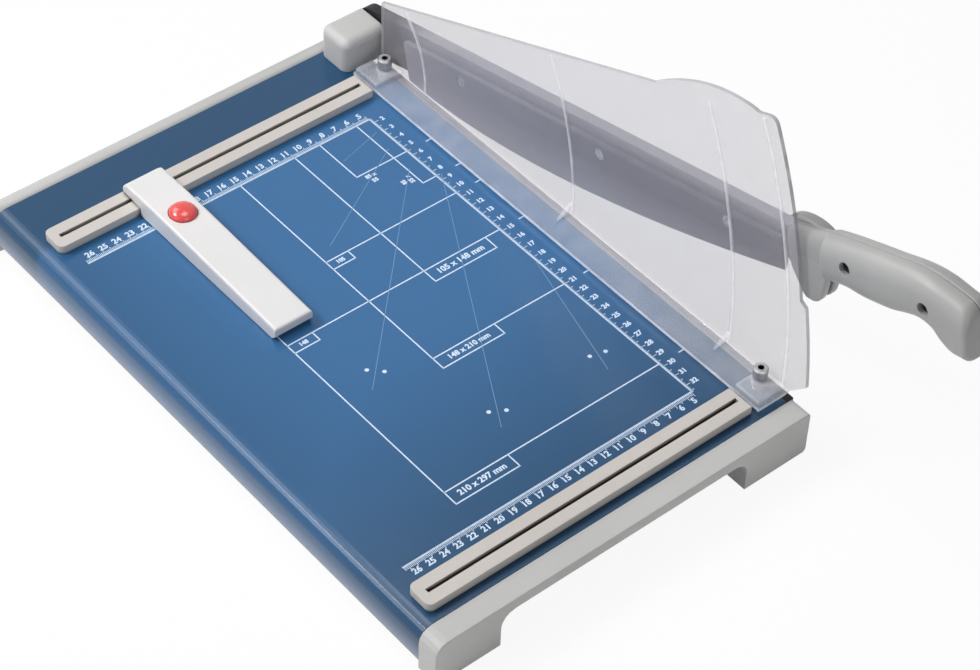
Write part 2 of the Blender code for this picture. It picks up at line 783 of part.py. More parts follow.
def foot_pads(base):
    """Turned rubber pads, let into the feet."""
    for end, inner, outward in cap_faces:
        for side, x in foot_middles():
            edge = FOOT_PAD_STANDOUT / 2
            profile = (
                (0, FOOT_PAD_HEIGHT), (FOOT_PAD_RADIUS, FOOT_PAD_HEIGHT),
                (FOOT_PAD_RADIUS, edge), (FOOT_PAD_RADIUS - edge, 0), (0, 0),
            )
            place = (x, inner + outward * CAP_THICKNESS / 2, rest_plane)
            pad = turned(profile, place, (0, 0, 1), ROUND_SIDES)
            finish(pad, f"foot_pad_{end}_{side}", "rubber", base)


def cap_screws(base):
    for end, inner, outward in cap_faces:
        for side, place in zip(("left", "right"), cap_screw_places(inner, outward)):
            pan_screw(f"cap_screw_{end}_{side}", place, (0, 0, -1), base)


# Knife beam and counter blade

def counter_screw_places():
    length = COUNTER_START - counter_end
    pitch = length / COUNTER_SCREWS
    return [COUNTER_START - pitch * (i + 1 / 2) for i in range(COUNTER_SCREWS)]


def counter_screw_level():
    return -(DECK_SHEET + BEAM_HEIGHT * COUNTER_SCREW_SHARE)


def knife_beam(base):
    """The square bar under the deck that carries the counter blade, the posts and the bracket."""
    low = (beam_left, deck_near + SEAT_GAP, beam_top - BEAM_HEIGHT)
    high = (beam_right, deck_far - SEAT_GAP, beam_top)
    beam = box(low, high)
    for y in counter_screw_places():
        start = (beam_right + CUT_OVERRUN, y, counter_screw_level())
        depth = SINK_SHANK_LENGTH - COUNTER_WIDTH + CUT_OVERRUN + SEAT_GAP
        tool = rod(start, (-1, 0, 0), depth, SINK_SHANK_RADIUS + SEAT_GAP, SCREW_SIDES)
        cut(beam, as_cutter(tool, "beam_thread", base))
    for _, inner, outward in cap_faces:
        x, y, level = cap_screw_places(inner, outward)[1]
        tool = rod((x, y, level), (0, 0, 1), PAN_SHANK_LENGTH + SEAT_GAP,
                   PAN_SHANK_RADIUS + SEAT_GAP, SCREW_SIDES)
        cut(beam, as_cutter(tool, "cap_thread", base))
    for _, y in post_places:
        start = (-POST_INSET, y, beam_top + CUT_OVERRUN)
        tool = rod(start, (0, 0, -1), CUT_OVERRUN + POST_DEPTH, POST_RADIUS + SEAT_GAP, SCREW_SIDES)
        cut(beam, as_cutter(tool, "post_thread", base))
    for x, y in bracket_screw_places():
        start = (x, y, beam_top + CUT_OVERRUN)
        tool = rod(start, (0, 0, -1), CUT_OVERRUN + PAN_SHANK_LENGTH, PAN_SHANK_RADIUS + SEAT_GAP,
                   SCREW_SIDES)
        cut(beam, as_cutter(tool, "bracket_thread", base))
    return finish(beam, "knife_beam", "dark_metal", base)


def counter_blade(base):
    """The fixed lower knife, screwed to the beam from the cutting side."""
    blade = box((-COUNTER_WIDTH, counter_end, -COUNTER_HEIGHT), (0, COUNTER_START, 0))
    for y in counter_screw_places():
        place = (-SEAT_GAP, y, counter_screw_level())
        cut(blade, sunk_hole(place, (1, 0, 0), SINK_SHANK_LENGTH, base))
    finish(blade, "counter_blade", "dark_metal", base)
    for number, y in enumerate(counter_screw_places(), 1):
        place = (-SEAT_GAP, y, counter_screw_level())
        sunk_screw(f"counter_blade_screw_{number}", place, (1, 0, 0), SINK_SHANK_LENGTH, "zinc", base)


# Paper rails

def rail_screw_places():
    return (rail_left + RAIL_SCREW_INSET, rail_right - RAIL_SCREW_INSET)


def paper_rail(name, face, outward, base):
    """A moulded rail with round ends, a T slot along it and a screw from below near each end."""
    outer = face + outward * RAIL_WIDTH
    low, high = min(face, outer), max(face, outer)
    corners = ((rail_left, high), (rail_right, high), (rail_right, low), (rail_left, low))
    radii = (RAIL_ROUND, 0, 0, RAIL_ROUND)
    rail = plan_plate(rounded(corners, radii), rail_base, RAIL_HEIGHT)
    top = RAIL_HEIGHT / 2 - WELD
    round_edges(rail, SEAT_GAP * 2, 2, lambda a, b: a.z > top and b.z > top)
    middle = (low + high) / 2
    start = rail_left + SLOT_END_INSET
    end = rail_right - SLOT_END_INSET / 2
    neck = box(
        (start, middle - SLOT_WIDTH / 2, rail_base + SLOT_FLOOR + SLOT_POCKET_HEIGHT / 2),
        (end, middle + SLOT_WIDTH / 2, rail_top + CUT_OVERRUN),
    )
    cut(rail, as_cutter(neck, name + "_slot", base))
    pocket = box(
        (start, middle - SLOT_POCKET_WIDTH / 2, rail_base + SLOT_FLOOR),
        (end, middle + SLOT_POCKET_WIDTH / 2, rail_base + SLOT_FLOOR + SLOT_POCKET_HEIGHT),
    )
    cut(rail, as_cutter(pocket, name + "_pocket", base))
    side = rail_side(face, outward)
    level = deck_top_under - SEAT_GAP
    for x in rail_screw_places():
        tool = rod((x, side, level), (0, 0, 1), PAN_SHANK_LENGTH + SEAT_GAP,
                   PAN_SHANK_RADIUS + SEAT_GAP, SCREW_SIDES)
        cut(rail, as_cutter(tool, name + "_thread", base))
    finish(rail, name, "rail_plastic", base)
    for place, x in zip(("left", "right"), rail_screw_places()):
        pan_screw(f"{name}_screw_{place}", (x, side, level), (0, 0, -1), base)


def rail_side(face, outward):
    middle = face + outward * RAIL_WIDTH / 2
    return middle + outward * (SLOT_POCKET_WIDTH / 2 + RAIL_WIDTH / 2) / 2


# Pivot: bracket, bolt, washer, disc spring, nut and cap

def bracket_screw_places():
    x = bracket_right - BRACKET_REACH + BRACKET_SCREW_INSET
    return [(x, PIVOT_BACK + shift) for shift in (-BRACKET_SCREW_SPREAD, BRACKET_SCREW_SPREAD)]


def pivot_bracket(base):
    """A bearing angle: a foot on the deck and an upright ear with a round head for the bolt."""
    half = BRACKET_WIDTH / 2
    foot_low = SEAT_GAP
    foot = box(
        (bracket_right - BRACKET_REACH, PIVOT_BACK - half, foot_low),
        (bracket_right - BRACKET_WALL / 2, PIVOT_BACK + half, foot_low + BRACKET_FOOT),
    )
    corners = [(-PIVOT_BACK - half, foot_low), (-PIVOT_BACK + half, foot_low)]
    head = arc((-PIVOT_BACK, PIVOT_HEIGHT), BRACKET_HEAD_ROUND, 0, math.pi, CORNER_STEPS * 3)
    ear = side_plate(corners + head, bracket_left, BRACKET_WALL)
    join(ear, as_cutter(foot, "bracket_foot", base))
    start = (bracket_left - CUT_OVERRUN, PIVOT_BACK, PIVOT_HEIGHT)
    bore = rod(start, (1, 0, 0), BRACKET_WALL + CUT_OVERRUN * 2, BOLT_RADIUS + BOLT_RUN)
    cut(ear, as_cutter(bore, "bracket_bore", base))
    for x, y in bracket_screw_places():
        start = (x, y, foot_low + BRACKET_FOOT + CUT_OVERRUN)
        tool = rod(start, (0, 0, -1), BRACKET_FOOT + CUT_OVERRUN * 2, PAN_SHANK_RADIUS + SEAT_GAP,
                   SCREW_SIDES)
        cut(ear, as_cutter(tool, "bracket_hole", base))
    finish(ear, "pivot_bracket", "dark_metal", base)
    level = foot_low + BRACKET_FOOT + SEAT_GAP
    for side, (x, y) in zip(("near", "far"), bracket_screw_places()):
        pan_screw(f"bracket_screw_{side}", (x, y, level), (0, 0, 1), base)


def pivot_hardware(base):
    """The bolt through arm and bracket, with the parts that keep the blade pressed to its mate."""
    spring_right = bracket_left - SEAT_GAP
    spring_left = spring_right - DISC_SPRING_HEIGHT
    nut_right = spring_left - SEAT_GAP
    nut_left = nut_right - NUT_HEIGHT
    tail = nut_left - BOLT_TAIL
    head_right = BOLT_HEAD_HEIGHT
    shank = bolt_head_left - tail
    small = BOLT_HEAD_HEIGHT / 5
    profile = (
        (0, head_right), (BOLT_HEAD_RADIUS - small, head_right), (BOLT_HEAD_RADIUS, head_right - small),
        (BOLT_HEAD_RADIUS, 0), (BOLT_RADIUS, 0), (BOLT_RADIUS, small - shank),
        (BOLT_RADIUS - small, -shank), (0, -shank),
    )
    bolt = turned(profile, (bolt_head_left, PIVOT_BACK, PIVOT_HEIGHT), (1, 0, 0), ROUND_SIDES)
    top = (bolt_head_left + head_right, PIVOT_BACK, PIVOT_HEIGHT)
    socket(bolt, top, (1, 0, 0), BOLT_RADIUS, BOLT_HEAD_HEIGHT * SOCKET_DEPTH_SHARE, base)
    finish(bolt, "pivot_bolt", "zinc", base)

    inner = BOLT_RADIUS + SEAT_GAP
    ring = ((inner, WASHER_THICKNESS), (WASHER_RADIUS, WASHER_THICKNESS), (WASHER_RADIUS, 0), (inner, 0))
    washer = turned(ring, (washer_left, PIVOT_BACK, PIVOT_HEIGHT), (1, 0, 0), ROUND_SIDES)
    finish(washer, "pivot_washer", "zinc", base)

    rim = DISC_SPRING_HEIGHT - DISC_SPRING_WALL
    cone = ((inner, DISC_SPRING_HEIGHT), (DISC_SPRING_RADIUS, DISC_SPRING_HEIGHT - rim),
            (DISC_SPRING_RADIUS, 0), (inner, rim))
    disc = turned(cone, (spring_right, PIVOT_BACK, PIVOT_HEIGHT), (-1, 0, 0), ROUND_SIDES)
    finish(disc, "disc_spring", "ground_steel", base)

    nut = rod((nut_right, PIVOT_BACK, PIVOT_HEIGHT), (-1, 0, 0), NUT_HEIGHT, NUT_RADIUS, HEX_SIDES)
    start = (nut_right + CUT_OVERRUN, PIVOT_BACK, PIVOT_HEIGHT)
    bore = rod(start, (-1, 0, 0), NUT_HEIGHT + CUT_OVERRUN * 2, inner)
    cut(nut, as_cutter(bore, "nut_bore", base))
    finish(nut, "lock_nut", "zinc", base)


def pivot_cap(base):
    """The rounded cover over the bracket, open below and towards the arm."""
    right = PIVOT_CAP_PAST_EDGE
    left = right - PIVOT_CAP_WIDTH
    near = PIVOT_CAP_BACK - PIVOT_CAP_LENGTH / 2
    far = near + PIVOT_CAP_LENGTH
    spare = PIVOT_CAP_ROUND * 2
    cover = box((left, near, -spare), (right + spare, far, PIVOT_CAP_HEIGHT))
    bevel = cover.modifiers.new("round", "BEVEL")
    bevel.width = PIVOT_CAP_ROUND
    bevel.segments = CORNER_STEPS + 1
    beyond = spare + CUT_OVERRUN
    below = box((left - beyond, near - beyond, -beyond * 2), (right + beyond * 2, far + beyond, SEAT_GAP))
    cut(cover, as_cutter(below, "pivot_cap_foot_trim", base))
    side = box((right, near - beyond, -beyond * 2), (right + beyond * 2, far + beyond,
                                                    PIVOT_CAP_HEIGHT + beyond))
    cut(cover, as_cutter(side, "pivot_cap_side_trim", base))
    wall = PIVOT_CAP_WALL
    inner = box((left + wall, near + wall, -beyond), (right + beyond, far - wall, PIVOT_CAP_HEIGHT - wall))
    soften = inner.modifiers.new("round", "BEVEL")
    soften.width = PIVOT_CAP_ROUND - wall
    soften.segments = CORNER_STEPS
    cut(cover, as_cutter(inner, "pivot_cap_hollow", base))
    return finish(cover, "pivot_cap", "grey_plastic", base)


# Knife arm: modelled level, with the pivot at its origin; the arm's empty tilts it

def blade_edge_angle(radius):
    """The edge is a logarithmic spiral, so that it crosses the counter blade at one angle."""
    return BLADE_TIP_ANGLE - math.tan(BLADE_CROSSING) * math.log(blade_reach / radius)


def blade_edge():
    points = []
    for i in range(BLADE_POINTS + 1):
        radius = BLADE_HEEL_RADIUS + (blade_reach - BLADE_HEEL_RADIUS) * i / BLADE_POINTS
        angle = blade_edge_angle(radius)
        points.append((radius * math.cos(angle), radius * math.sin(angle)))
    return points


def blade_screw_places():
    return [(blade_reach * share, BLADE_SCREW_HEIGHT) for share in BLADE_SCREW_SHARES]


def blade_section(point, share):
    """A slice of the blade: straight back, ground bevel on its right, thin cutting edge."""
    reach, low = point
    back = reach - BLADE_BACK_SLANT * share
    right = blade_left + BLADE_THICKNESS
    bevel_reach = reach + (back - reach) * BLADE_BEVEL_HEIGHT / (BLADE_TOP - low)
    return (
        (blade_left, -reach, low),
        (blade_left, -back, BLADE_TOP),
        (right, -back, BLADE_TOP),
        (right, -bevel_reach, low + BLADE_BEVEL_HEIGHT),
        (right - BLADE_BEVEL_DEPTH, -reach, low),
    )


def knife_blade(arm):
    """The ground upper knife, lofted between its slices from heel to tip."""
    edge = blade_edge()
    sections = [blade_section(point, i / BLADE_POINTS) for i, point in enumerate(edge)]
    blade = lofted(sections)
    for reach, height in blade_screw_places():
        place = (blade_left + SEAT_GAP, -reach, height)
        cut(blade, sunk_hole(place, (-1, 0, 0), BLADE_SCREW_SHANK, arm))
    finish(blade, "knife_blade", "ground_steel", arm)
    for number, (reach, height) in enumerate(blade_screw_places(), 1):
        place = (blade_left + SEAT_GAP, -reach, height)
        sunk_screw(f"blade_screw_{number}", place, (-1, 0, 0), BLADE_SCREW_SHANK, "zinc", arm)


def knife_arm(arm):
    """The flat arm behind the blade, from the round hub to the tongue inside the handle."""
    end = blade_reach + ARM_END_PAST
    end_low = HUB_RADIUS - ARM_END_HEIGHT
    tongue_top, tongue_low = [], []
    for i in range(TONGUE_STEPS + 1):
        station, low, high, _ = handle_row(TONGUE_LENGTH_SHARE * i / TONGUE_STEPS)
        middle = (low + high) / 2
        station = station if i else end
        tongue_top.append((station, middle + TONGUE_HALF_HEIGHT))
        tongue_low.append((station, middle - TONGUE_HALF_HEIGHT))
    hub = arc((0, 0), HUB_RADIUS, math.radians(90), math.radians(270), FINE_SIDES // 2)
    outline = hub + [(HUB_RADIUS / 2, -HUB_RADIUS), (end, end_low)] + tongue_low
    outline += list(reversed(tongue_top)) + [(end, HUB_RADIUS)]
    plate = side_plate(outline, arm_left, ARM_THICKNESS)
    rotation = plate.matrix_world.to_3x3()
    matrix = plate.matrix_world.copy()

    def on_top(first, second):
        ends = [matrix @ first, matrix @ second]
        level = all(abs(point.z - HUB_RADIUS) < WELD * 10 for point in ends)
        return level and abs((rotation @ (second - first)).y) > HUB_RADIUS

    round_edges(plate, ARM_TOP_ROUND, 3, on_top)
    outer = BOLT_RADIUS + BOLT_RUN + BUSH_WALL
    bore = rod((-CUT_OVERRUN, 0, 0), (1, 0, 0), arm_right + CUT_OVERRUN * 2, outer + SEAT_GAP / 2)
    cut(plate, as_cutter(bore, "hub_bore", arm))
    for reach, height in blade_screw_places():
        place = (blade_left + SEAT_GAP, -reach, height)
        cut(plate, sunk_hole(place, (-1, 0, 0), BLADE_SCREW_SHANK, arm))
    for reach, height in handle_screw_places():
        start = (arm_left - CUT_OVERRUN, -reach, height)
        tool = rod(start, (1, 0, 0), ARM_THICKNESS + CUT_OVERRUN * 2, HANDLE_SCREW_RADIUS + SEAT_GAP,
                   SCREW_SIDES)
        cut(plate, as_cutter(tool, "tongue_hole", arm))
    return finish(plate, "knife_arm", "dark_metal", arm)


def arm_bush(arm):
    inner = BOLT_RADIUS + BOLT_RUN
    outer = inner + BUSH_WALL
    ring = ((inner, ARM_THICKNESS), (outer, ARM_THICKNESS), (outer, 0), (inner, 0))
    bush = turned(ring, (arm_left, 0, 0), (1, 0, 0), ROUND_SIDES)
    return finish(bush, "arm_bush", "brass", arm)


# Handle

def blended(rows, share):
    """A smooth curve through the rows at a station share, by the Catmull-Rom rule."""
    last = len(rows) - 1
    index = max(i for i in range(last) if rows[i][0] <= max(share, rows[0][0]))
    p0 = rows[max(index - 1, 0)]
    p1, p2 = rows[index], rows[index + 1]
    p3 = rows[min(index + 2, last)]
    t = (share - p1[0]) / (p2[0] - p1[0])
    values = []
    for a, b, c, d in zip(p0[1:], p1[1:], p2[1:], p3[1:]):
        slope = (c - a) / 2
        slope_next = (d - b) / 2
        lift = b * (2 * t ** 3 - 3 * t ** 2 + 1) + c * (3 * t ** 2 - 2 * t ** 3)
        values.append(lift + slope * (t ** 3 - 2 * t ** 2 + t) + slope_next * (t ** 3 - t ** 2))
    return values


def ramp(share, span):
    """A smooth step from 0 to 1 between the two shares of a span."""
    t = min(1, max(0, (share - span[0]) / (span[1] - span[0])))
    return t * t * (3 - 2 * t)


def end_inset(distance, radius):
    """How far a rounded end edge has drawn in at a distance from the end."""
    inside = max(0, radius - distance)
    return radius - math.sqrt(radius ** 2 - inside ** 2)


def handle_row(share):
    """Station, underside, top and half width of the handle at a share of its length."""
    low, high, half = blended(HANDLE_SECTION_SHARES, share)
    half = HANDLE_ROOT_SHARE + (half - HANDLE_ROOT_SHARE) * ramp(share, HANDLE_SHOULDER_SHARES)
    left_over = HANDLE_LENGTH * (HANDLE_SECTION_SHARES[-1][0] - share)
    low_inset, high_inset, side_inset = (end_inset(left_over, r) for r in HANDLE_END_ROUNDS)
    low = low * HANDLE_HEIGHT + low_inset
    high = high * HANDLE_HEIGHT - high_inset
    return handle_start + HANDLE_LENGTH * share, low, high, half * HANDLE_HALF_WIDTH - side_inset


def handle_shares():
    """Even stations, with finer ones over the shoulder and towards the rounded end."""
    last = HANDLE_SECTION_SHARES[-1][0]
    first, second = HANDLE_SHOULDER_SHARES
    body = last - max(HANDLE_END_ROUNDS) / HANDLE_LENGTH
    shares = [body * i / HANDLE_STATIONS for i in range(HANDLE_STATIONS + 1)]
    shares = [share for share in shares if share < first or share > second]
    shares += [first + (second - first) * i / HANDLE_SHOULDER_STEPS for i in range(HANDLE_SHOULDER_STEPS + 1)]
    for i in range(1, HANDLE_END_STEPS + 1):
        shares.append(body + (last - body) * math.sin(math.radians(90) * i / HANDLE_END_STEPS))
    return sorted(shares)


def handle_ring(share, side):
    """Half of a full, rounded section; side is -1 for the left shell and 1 for the right."""
    station, low, high, half = handle_row(share)
    middle, rise = (low + high) / 2, (high - low) / 2
    fuller = HANDLE_FULLNESS + (HANDLE_TAIL_FULLNESS - HANDLE_FULLNESS) * ramp(share, HANDLE_TAIL_SHARES)
    inner = arm_middle + side * SEAT_GAP / 2
    chamfer = min(HANDLE_SPLIT_CHAMFER, rise / 4)
    ring = [(inner, -station, low + chamfer)]
    for i in range(HANDLE_RING):
        angle = math.pi * (i / (HANDLE_RING - 1) - 0.5)
        fullness = fuller if angle < 0 else HANDLE_FULLNESS
        across = abs(math.cos(angle)) ** (2 / fullness)
        up = math.copysign(abs(math.sin(angle)) ** (2 / fullness), angle)
        width = max(across * half, chamfer)
        ring.append((arm_middle + side * width, -station, middle + up * rise))
    ring.append((inner, -station, high - chamfer))
    return ring


def handle_shell(side):
    """A shell half, closed at both ends and at the split."""
    return lofted([handle_ring(share, side) for share in handle_shares()])


def handle_screw_places():
    places = []
    for station_share, height_share in HANDLE_SCREW_SHARES:
        places.append((handle_start + HANDLE_LENGTH * station_share, HANDLE_HEIGHT * height_share))
    return places


def tongue_pocket():
    """The room for the arm's tongue inside the two shells."""
    upper, lower = [], []
    room = TONGUE_HALF_HEIGHT + SEAT_GAP
    for i in range(TONGUE_STEPS + 1):
        station, low, high, _ = handle_row(TONGUE_LENGTH_SHARE * i / TONGUE_STEPS)
        middle = (low + high) / 2
        upper.append((station, middle + room))
        lower.append((station, middle - room))
    front = handle_start - THUMB_REST_HALF_LENGTH
    end = lower[-1][0] + SEAT_GAP
    lower[-1] = (end, lower[-1][1])
    upper[-1] = (end, upper[-1][1])
    wide = HANDLE_HEIGHT
    start_low, start_high = lower[0][1] - SEAT_GAP * 2, upper[0][1] + SEAT_GAP * 2
    outline = [(front, -wide), (handle_start - SEAT_GAP, -wide), (handle_start, start_low)] + lower[1:]
    outline += list(reversed(upper))[:-1] + [(handle_start, start_high)]
    outline += [(handle_start - SEAT_GAP, wide), (front, wide)]
    return side_plate(outline, arm_left - SEAT_GAP, ARM_THICKNESS + SEAT_GAP * 2)


def thumb_rest_outline():
    """An oval beside the handle's root."""
    station = handle_start + HANDLE_LENGTH * THUMB_REST_STATION_SHARE
    points = []
    for i in range(FINE_SIDES):
        angle = 2 * math.pi * i / FINE_SIDES
        height = HANDLE_HEIGHT * THUMB_REST_HEIGHT_SHARE + THUMB_REST_HALF_HEIGHT * math.sin(angle)
        points.append((station + THUMB_REST_HALF_LENGTH * math.cos(angle), height))
    return points


def handle_half(name, side, arm):
    shell = handle_shell(side)
    lug_half = HANDLE_HALF_WIDTH * HANDLE_ROOT_SHARE
    lug_outline = [(handle_start + LUG_LENGTH * a, LUG_DROP * b) for a, b in LUG_OUTLINE_SHARES]
    inner = arm_middle + side * LUG_SLOT / 2
    outer = arm_middle + side * lug_half
    lug = side_plate(lug_outline, min(inner, outer), abs(outer - inner))
    join(shell, as_cutter(lug, name + "_lug", arm))
    if side > 0:
        rest = side_plate(thumb_rest_outline(), arm_middle + THUMB_REST_INNER, THUMB_REST_THICKNESS)
        soften = rest.modifiers.new("round", "BEVEL")
        soften.width = THUMB_REST_THICKNESS / 4
        soften.segments = 2
        soften.limit_method = "ANGLE"
        join(shell, as_cutter(rest, name + "_thumb_rest", arm))
    cut(shell, as_cutter(tongue_pocket(), name + "_pocket", arm))
    seat = arm_middle - HANDLE_SCREW_SEAT
    for reach, height in handle_screw_places():
        start = (arm_middle, -reach, height)
        shank = HANDLE_SCREW_RADIUS + SEAT_GAP
        if side < 0:
            through = rod(start, (-1, 0, 0), HANDLE_SCREW_SEAT + CUT_OVERRUN, shank, SCREW_SIDES)
            cut(shell, as_cutter(through, name + "_hole", arm))
            head = HANDLE_SCREW_HEAD_RADIUS + SEAT_GAP
            bore = rod((seat, -reach, height), (-1, 0, 0), HANDLE_HALF_WIDTH + CUT_OVERRUN, head)
            cut(shell, as_cutter(bore, name + "_counterbore", arm))
        else:
            blind = rod(start, (1, 0, 0), HANDLE_SCREW_REACH + SEAT_GAP, shank, SCREW_SIDES)
            cut(shell, as_cutter(blind, name + "_thread", arm))
    return finish(shell, name, "handle_grey", arm)


def handle_screws(arm):
    seat = arm_middle - HANDLE_SCREW_SEAT - SEAT_GAP
    shank = HANDLE_SCREW_SEAT + SEAT_GAP + HANDLE_SCREW_REACH
    profile = (
        (0, HANDLE_SCREW_HEAD_HEIGHT), (HANDLE_SCREW_HEAD_RADIUS, HANDLE_SCREW_HEAD_HEIGHT),
        (HANDLE_SCREW_HEAD_RADIUS, 0), (HANDLE_SCREW_RADIUS, 0),
        (HANDLE_SCREW_RADIUS, -shank), (0, -shank),
    )
    for number, (reach, height) in enumerate(handle_screw_places(), 1):
        screw = turned(profile, (seat, -reach, height), (-1, 0, 0), SCREW_SIDES)
        top = (seat - HANDLE_SCREW_HEAD_HEIGHT, -reach, height)
        socket(screw, top, (-1, 0, 0), HANDLE_SCREW_RADIUS, HANDLE_SCREW_HEAD_HEIGHT / 2, arm)
        finish(screw, f"handle_screw_{number}", "dark_metal", arm)


# Guard and clamp

def guard_top(reach_from_pivot):
    return PIVOT_HEIGHT + GUARD_TOP_AT_PIVOT + reach_from_pivot * math.tan(GUARD_TOP_SLOPE)


def guard_corner_angle(radius):
    """The angle, seen from the pivot, at which the sloping top meets a circle round the pivot."""
    slope = GUARD_TOP_SLOPE
    return slope + math.asin(GUARD_TOP_AT_PIVOT * math.cos(slope) / radius)


def guard_near_edge(top_angle):
    """Up the flared foot, then a circle round the pivot, stepped in at the lip."""
    radius = guard_edge_radius
    foot_angle = math.asin((GUARD_EDGE_FOOT - PIVOT_HEIGHT) / radius)
    lip_angle = math.asin((GUARD_LIP_HEIGHT - PIVOT_HEIGHT) / radius)
    points = []
    for i in range(GUARD_LIP_STEPS + 1):
        share = i / GUARD_LIP_STEPS
        angle = foot_angle + (lip_angle - foot_angle) * share
        reach = radius + GUARD_FOOT_FLARE + (GUARD_LIP_FLARE - GUARD_FOOT_FLARE) * share
        points.append((reach * math.cos(angle) - PIVOT_BACK, reach * math.sin(angle) + PIVOT_HEIGHT))
    start = lip_angle + GUARD_LIP_RISE / radius
    return points + arc((-PIVOT_BACK, PIVOT_HEIGHT), radius, start, top_angle, GUARD_EDGE_STEPS)


def guard_outline():
    """Side view: flange below, sloping top with a low hump, near edge round the pivot."""
    radius = guard_edge_radius
    top_angle = guard_corner_angle(radius)
    near_edge = guard_near_edge(top_angle - GUARD_CORNER_ROUND / radius)
    corner_reach = radius * math.cos(top_angle) - GUARD_CORNER_ROUND
    top = [(corner_reach - PIVOT_BACK, guard_top(corner_reach))]
    first, last = (share * guard_edge_radius for share in GUARD_HUMP_SHARES)
    for i in range(GUARD_HUMP_STEPS + 1):
        share = i / GUARD_HUMP_STEPS
        reach = last + (first - last) * share
        lift = GUARD_HUMP_HEIGHT * math.sin(math.pi * share) ** GUARD_HUMP_FULLNESS
        top.append((reach - PIVOT_BACK, guard_top(reach) + lift))
    top.append((-guard_far, guard_top(PIVOT_BACK - guard_far)))
    below = GUARD_LIFT - CUT_OVERRUN
    flange = [(-guard_far, below), (-guard_near, below), (-guard_near, GUARD_LIFT + GUARD_SHEET)]
    return flange + near_edge + top


def guard_sheet():
    """The bent sheet before it is trimmed: flange, bend and wall, swept along the table."""
    bend = GUARD_BEND - GUARD_SHEET / 2
    wall = guard_right - GUARD_SHEET / 2
    level = GUARD_LIFT + GUARD_SHEET / 2
    height = guard_top(guard_edge_radius) + GUARD_HUMP_HEIGHT
    profile = [(guard_left, level)]
    profile += bend_points(wall - bend, level + bend, bend, 270, 360)
    profile.append((wall, height))
    bm = bmesh.new()
    start = guard_far + CUT_OVERRUN
    verts = [bm.verts.new((x, start, z)) for x, z in profile]
    edges = [bm.edges.new((a, b)) for a, b in zip(verts, verts[1:])]
    swept = bmesh.ops.extrude_edge_only(bm, edges=edges)
    moved = [v for v in swept["geom"] if isinstance(v, bmesh.types.BMVert)]
    length = start + guard_edge_radius
    bmesh.ops.translate(bm, vec=(0, -length, 0), verts=moved)
    bmesh.ops.recalc_face_normals(bm, faces=bm.faces)
    sheet = mesh_object("guard", bm)
    shell = sheet.modifiers.new("sheet", "SOLIDIFY")
    shell.thickness = GUARD_SHEET
    shell.offset = 0
    shell.use_even_offset = True
    return sheet


def rib_outline(radius, width):
    """An arc round the pivot, from the flange up to just under the sloping top."""
    centre = (-PIVOT_BACK, PIVOT_HEIGHT)
    low = math.asin((GUARD_LIFT + GUARD_BEND - PIVOT_HEIGHT) / radius)
    high = guard_corner_angle(radius) - GUARD_RIB_WIDTH / radius
    inner = arc(centre, radius, low, high, GUARD_RIB_STEPS)
    outer = arc(centre, radius + width, low, high, GUARD_RIB_STEPS)
    return inner + list(reversed(outer))


def guard_ribs(guard, carrier):
    """Raised lines on the table side of the wall, each with a small gusset down to the flange."""
    wall_left = guard_right - GUARD_SHEET
    radii = [guard_edge_radius * share for share in GUARD_RIB_SHARES]
    for radius in radii + [guard_edge_radius - GUARD_RIM_INSET]:
        rib = side_plate(rib_outline(radius, GUARD_RIB_WIDTH), wall_left - GUARD_RIB_HEIGHT,
                         GUARD_RIB_HEIGHT + GUARD_SHEET / 2)
        join(guard, as_cutter(rib, "guard_rib", carrier))
    floor = GUARD_LIFT + GUARD_SHEET / 2
    for radius in radii[1:]:
        reach = radius * math.cos(math.asin((PIVOT_HEIGHT - floor) / radius)) - PIVOT_BACK
        corners = (
            (wall_left - GUARD_BEND - GUSSET_SIZE, floor), (guard_right - GUARD_SHEET / 2, floor),
            (guard_right - GUARD_SHEET / 2, floor + GUARD_BEND + GUSSET_SIZE),
            (wall_left - SEAT_GAP, floor + GUARD_BEND + GUSSET_SIZE),
            (wall_left - GUARD_BEND - GUSSET_SIZE, floor + GUARD_SHEET),
        )
        gusset = front_plate(corners, -reach + GUSSET_THICKNESS / 2, GUSSET_THICKNESS)
        join(guard, as_cutter(gusset, "guard_gusset", carrier))


def guard_pads(guard, carrier):
    """The thick ends of the flange, bored for the posts and sunk below for the springs."""
    lip = GUARD_PAD_LIP
    spans = ((guard_far - lip, lip), (near_rail_face - lip, guard_near + lip))
    for (far, near), (_, post_y) in zip(spans, post_places):
        low = (guard_left + lip, near, GUARD_LIFT + GUARD_SHEET / 4)
        pad = box(low, (guard_right - GUARD_SHEET / 2, far, pad_top))
        soften = pad.modifiers.new("round", "BEVEL")
        soften.width = GUARD_PAD_ROUND
        soften.segments = 2
        join(guard, as_cutter(pad, "guard_pad", carrier))
        hole = rod((-POST_INSET, post_y, pad_top + CUT_OVERRUN), (0, 0, -1),
                   GUARD_PAD_HEIGHT + CUT_OVERRUN * 2, POST_RADIUS + RUN_GAP)
        cut(guard, as_cutter(hole, "post_hole", carrier))
        well = rod((-POST_INSET, post_y, GUARD_LIFT + PAD_WELL_DEPTH), (0, 0, -1),
                   PAD_WELL_DEPTH + CUT_OVERRUN, PAD_WELL_RADIUS)
        cut(guard, as_cutter(well, "spring_well", carrier))


def safety_guard(carrier):
    guard = guard_sheet()
    width = GUARD_WIDTH + CUT_OVERRUN * 2
    trim = side_plate(guard_outline(), -width, width + CUT_OVERRUN)
    combine(guard, as_cutter(trim, "guard_trim", carrier), "INTERSECT")
    guard_ribs(guard, carrier)
    guard_pads(guard, carrier)
    return finish(guard, "safety_guard", "clear_plastic", carrier)


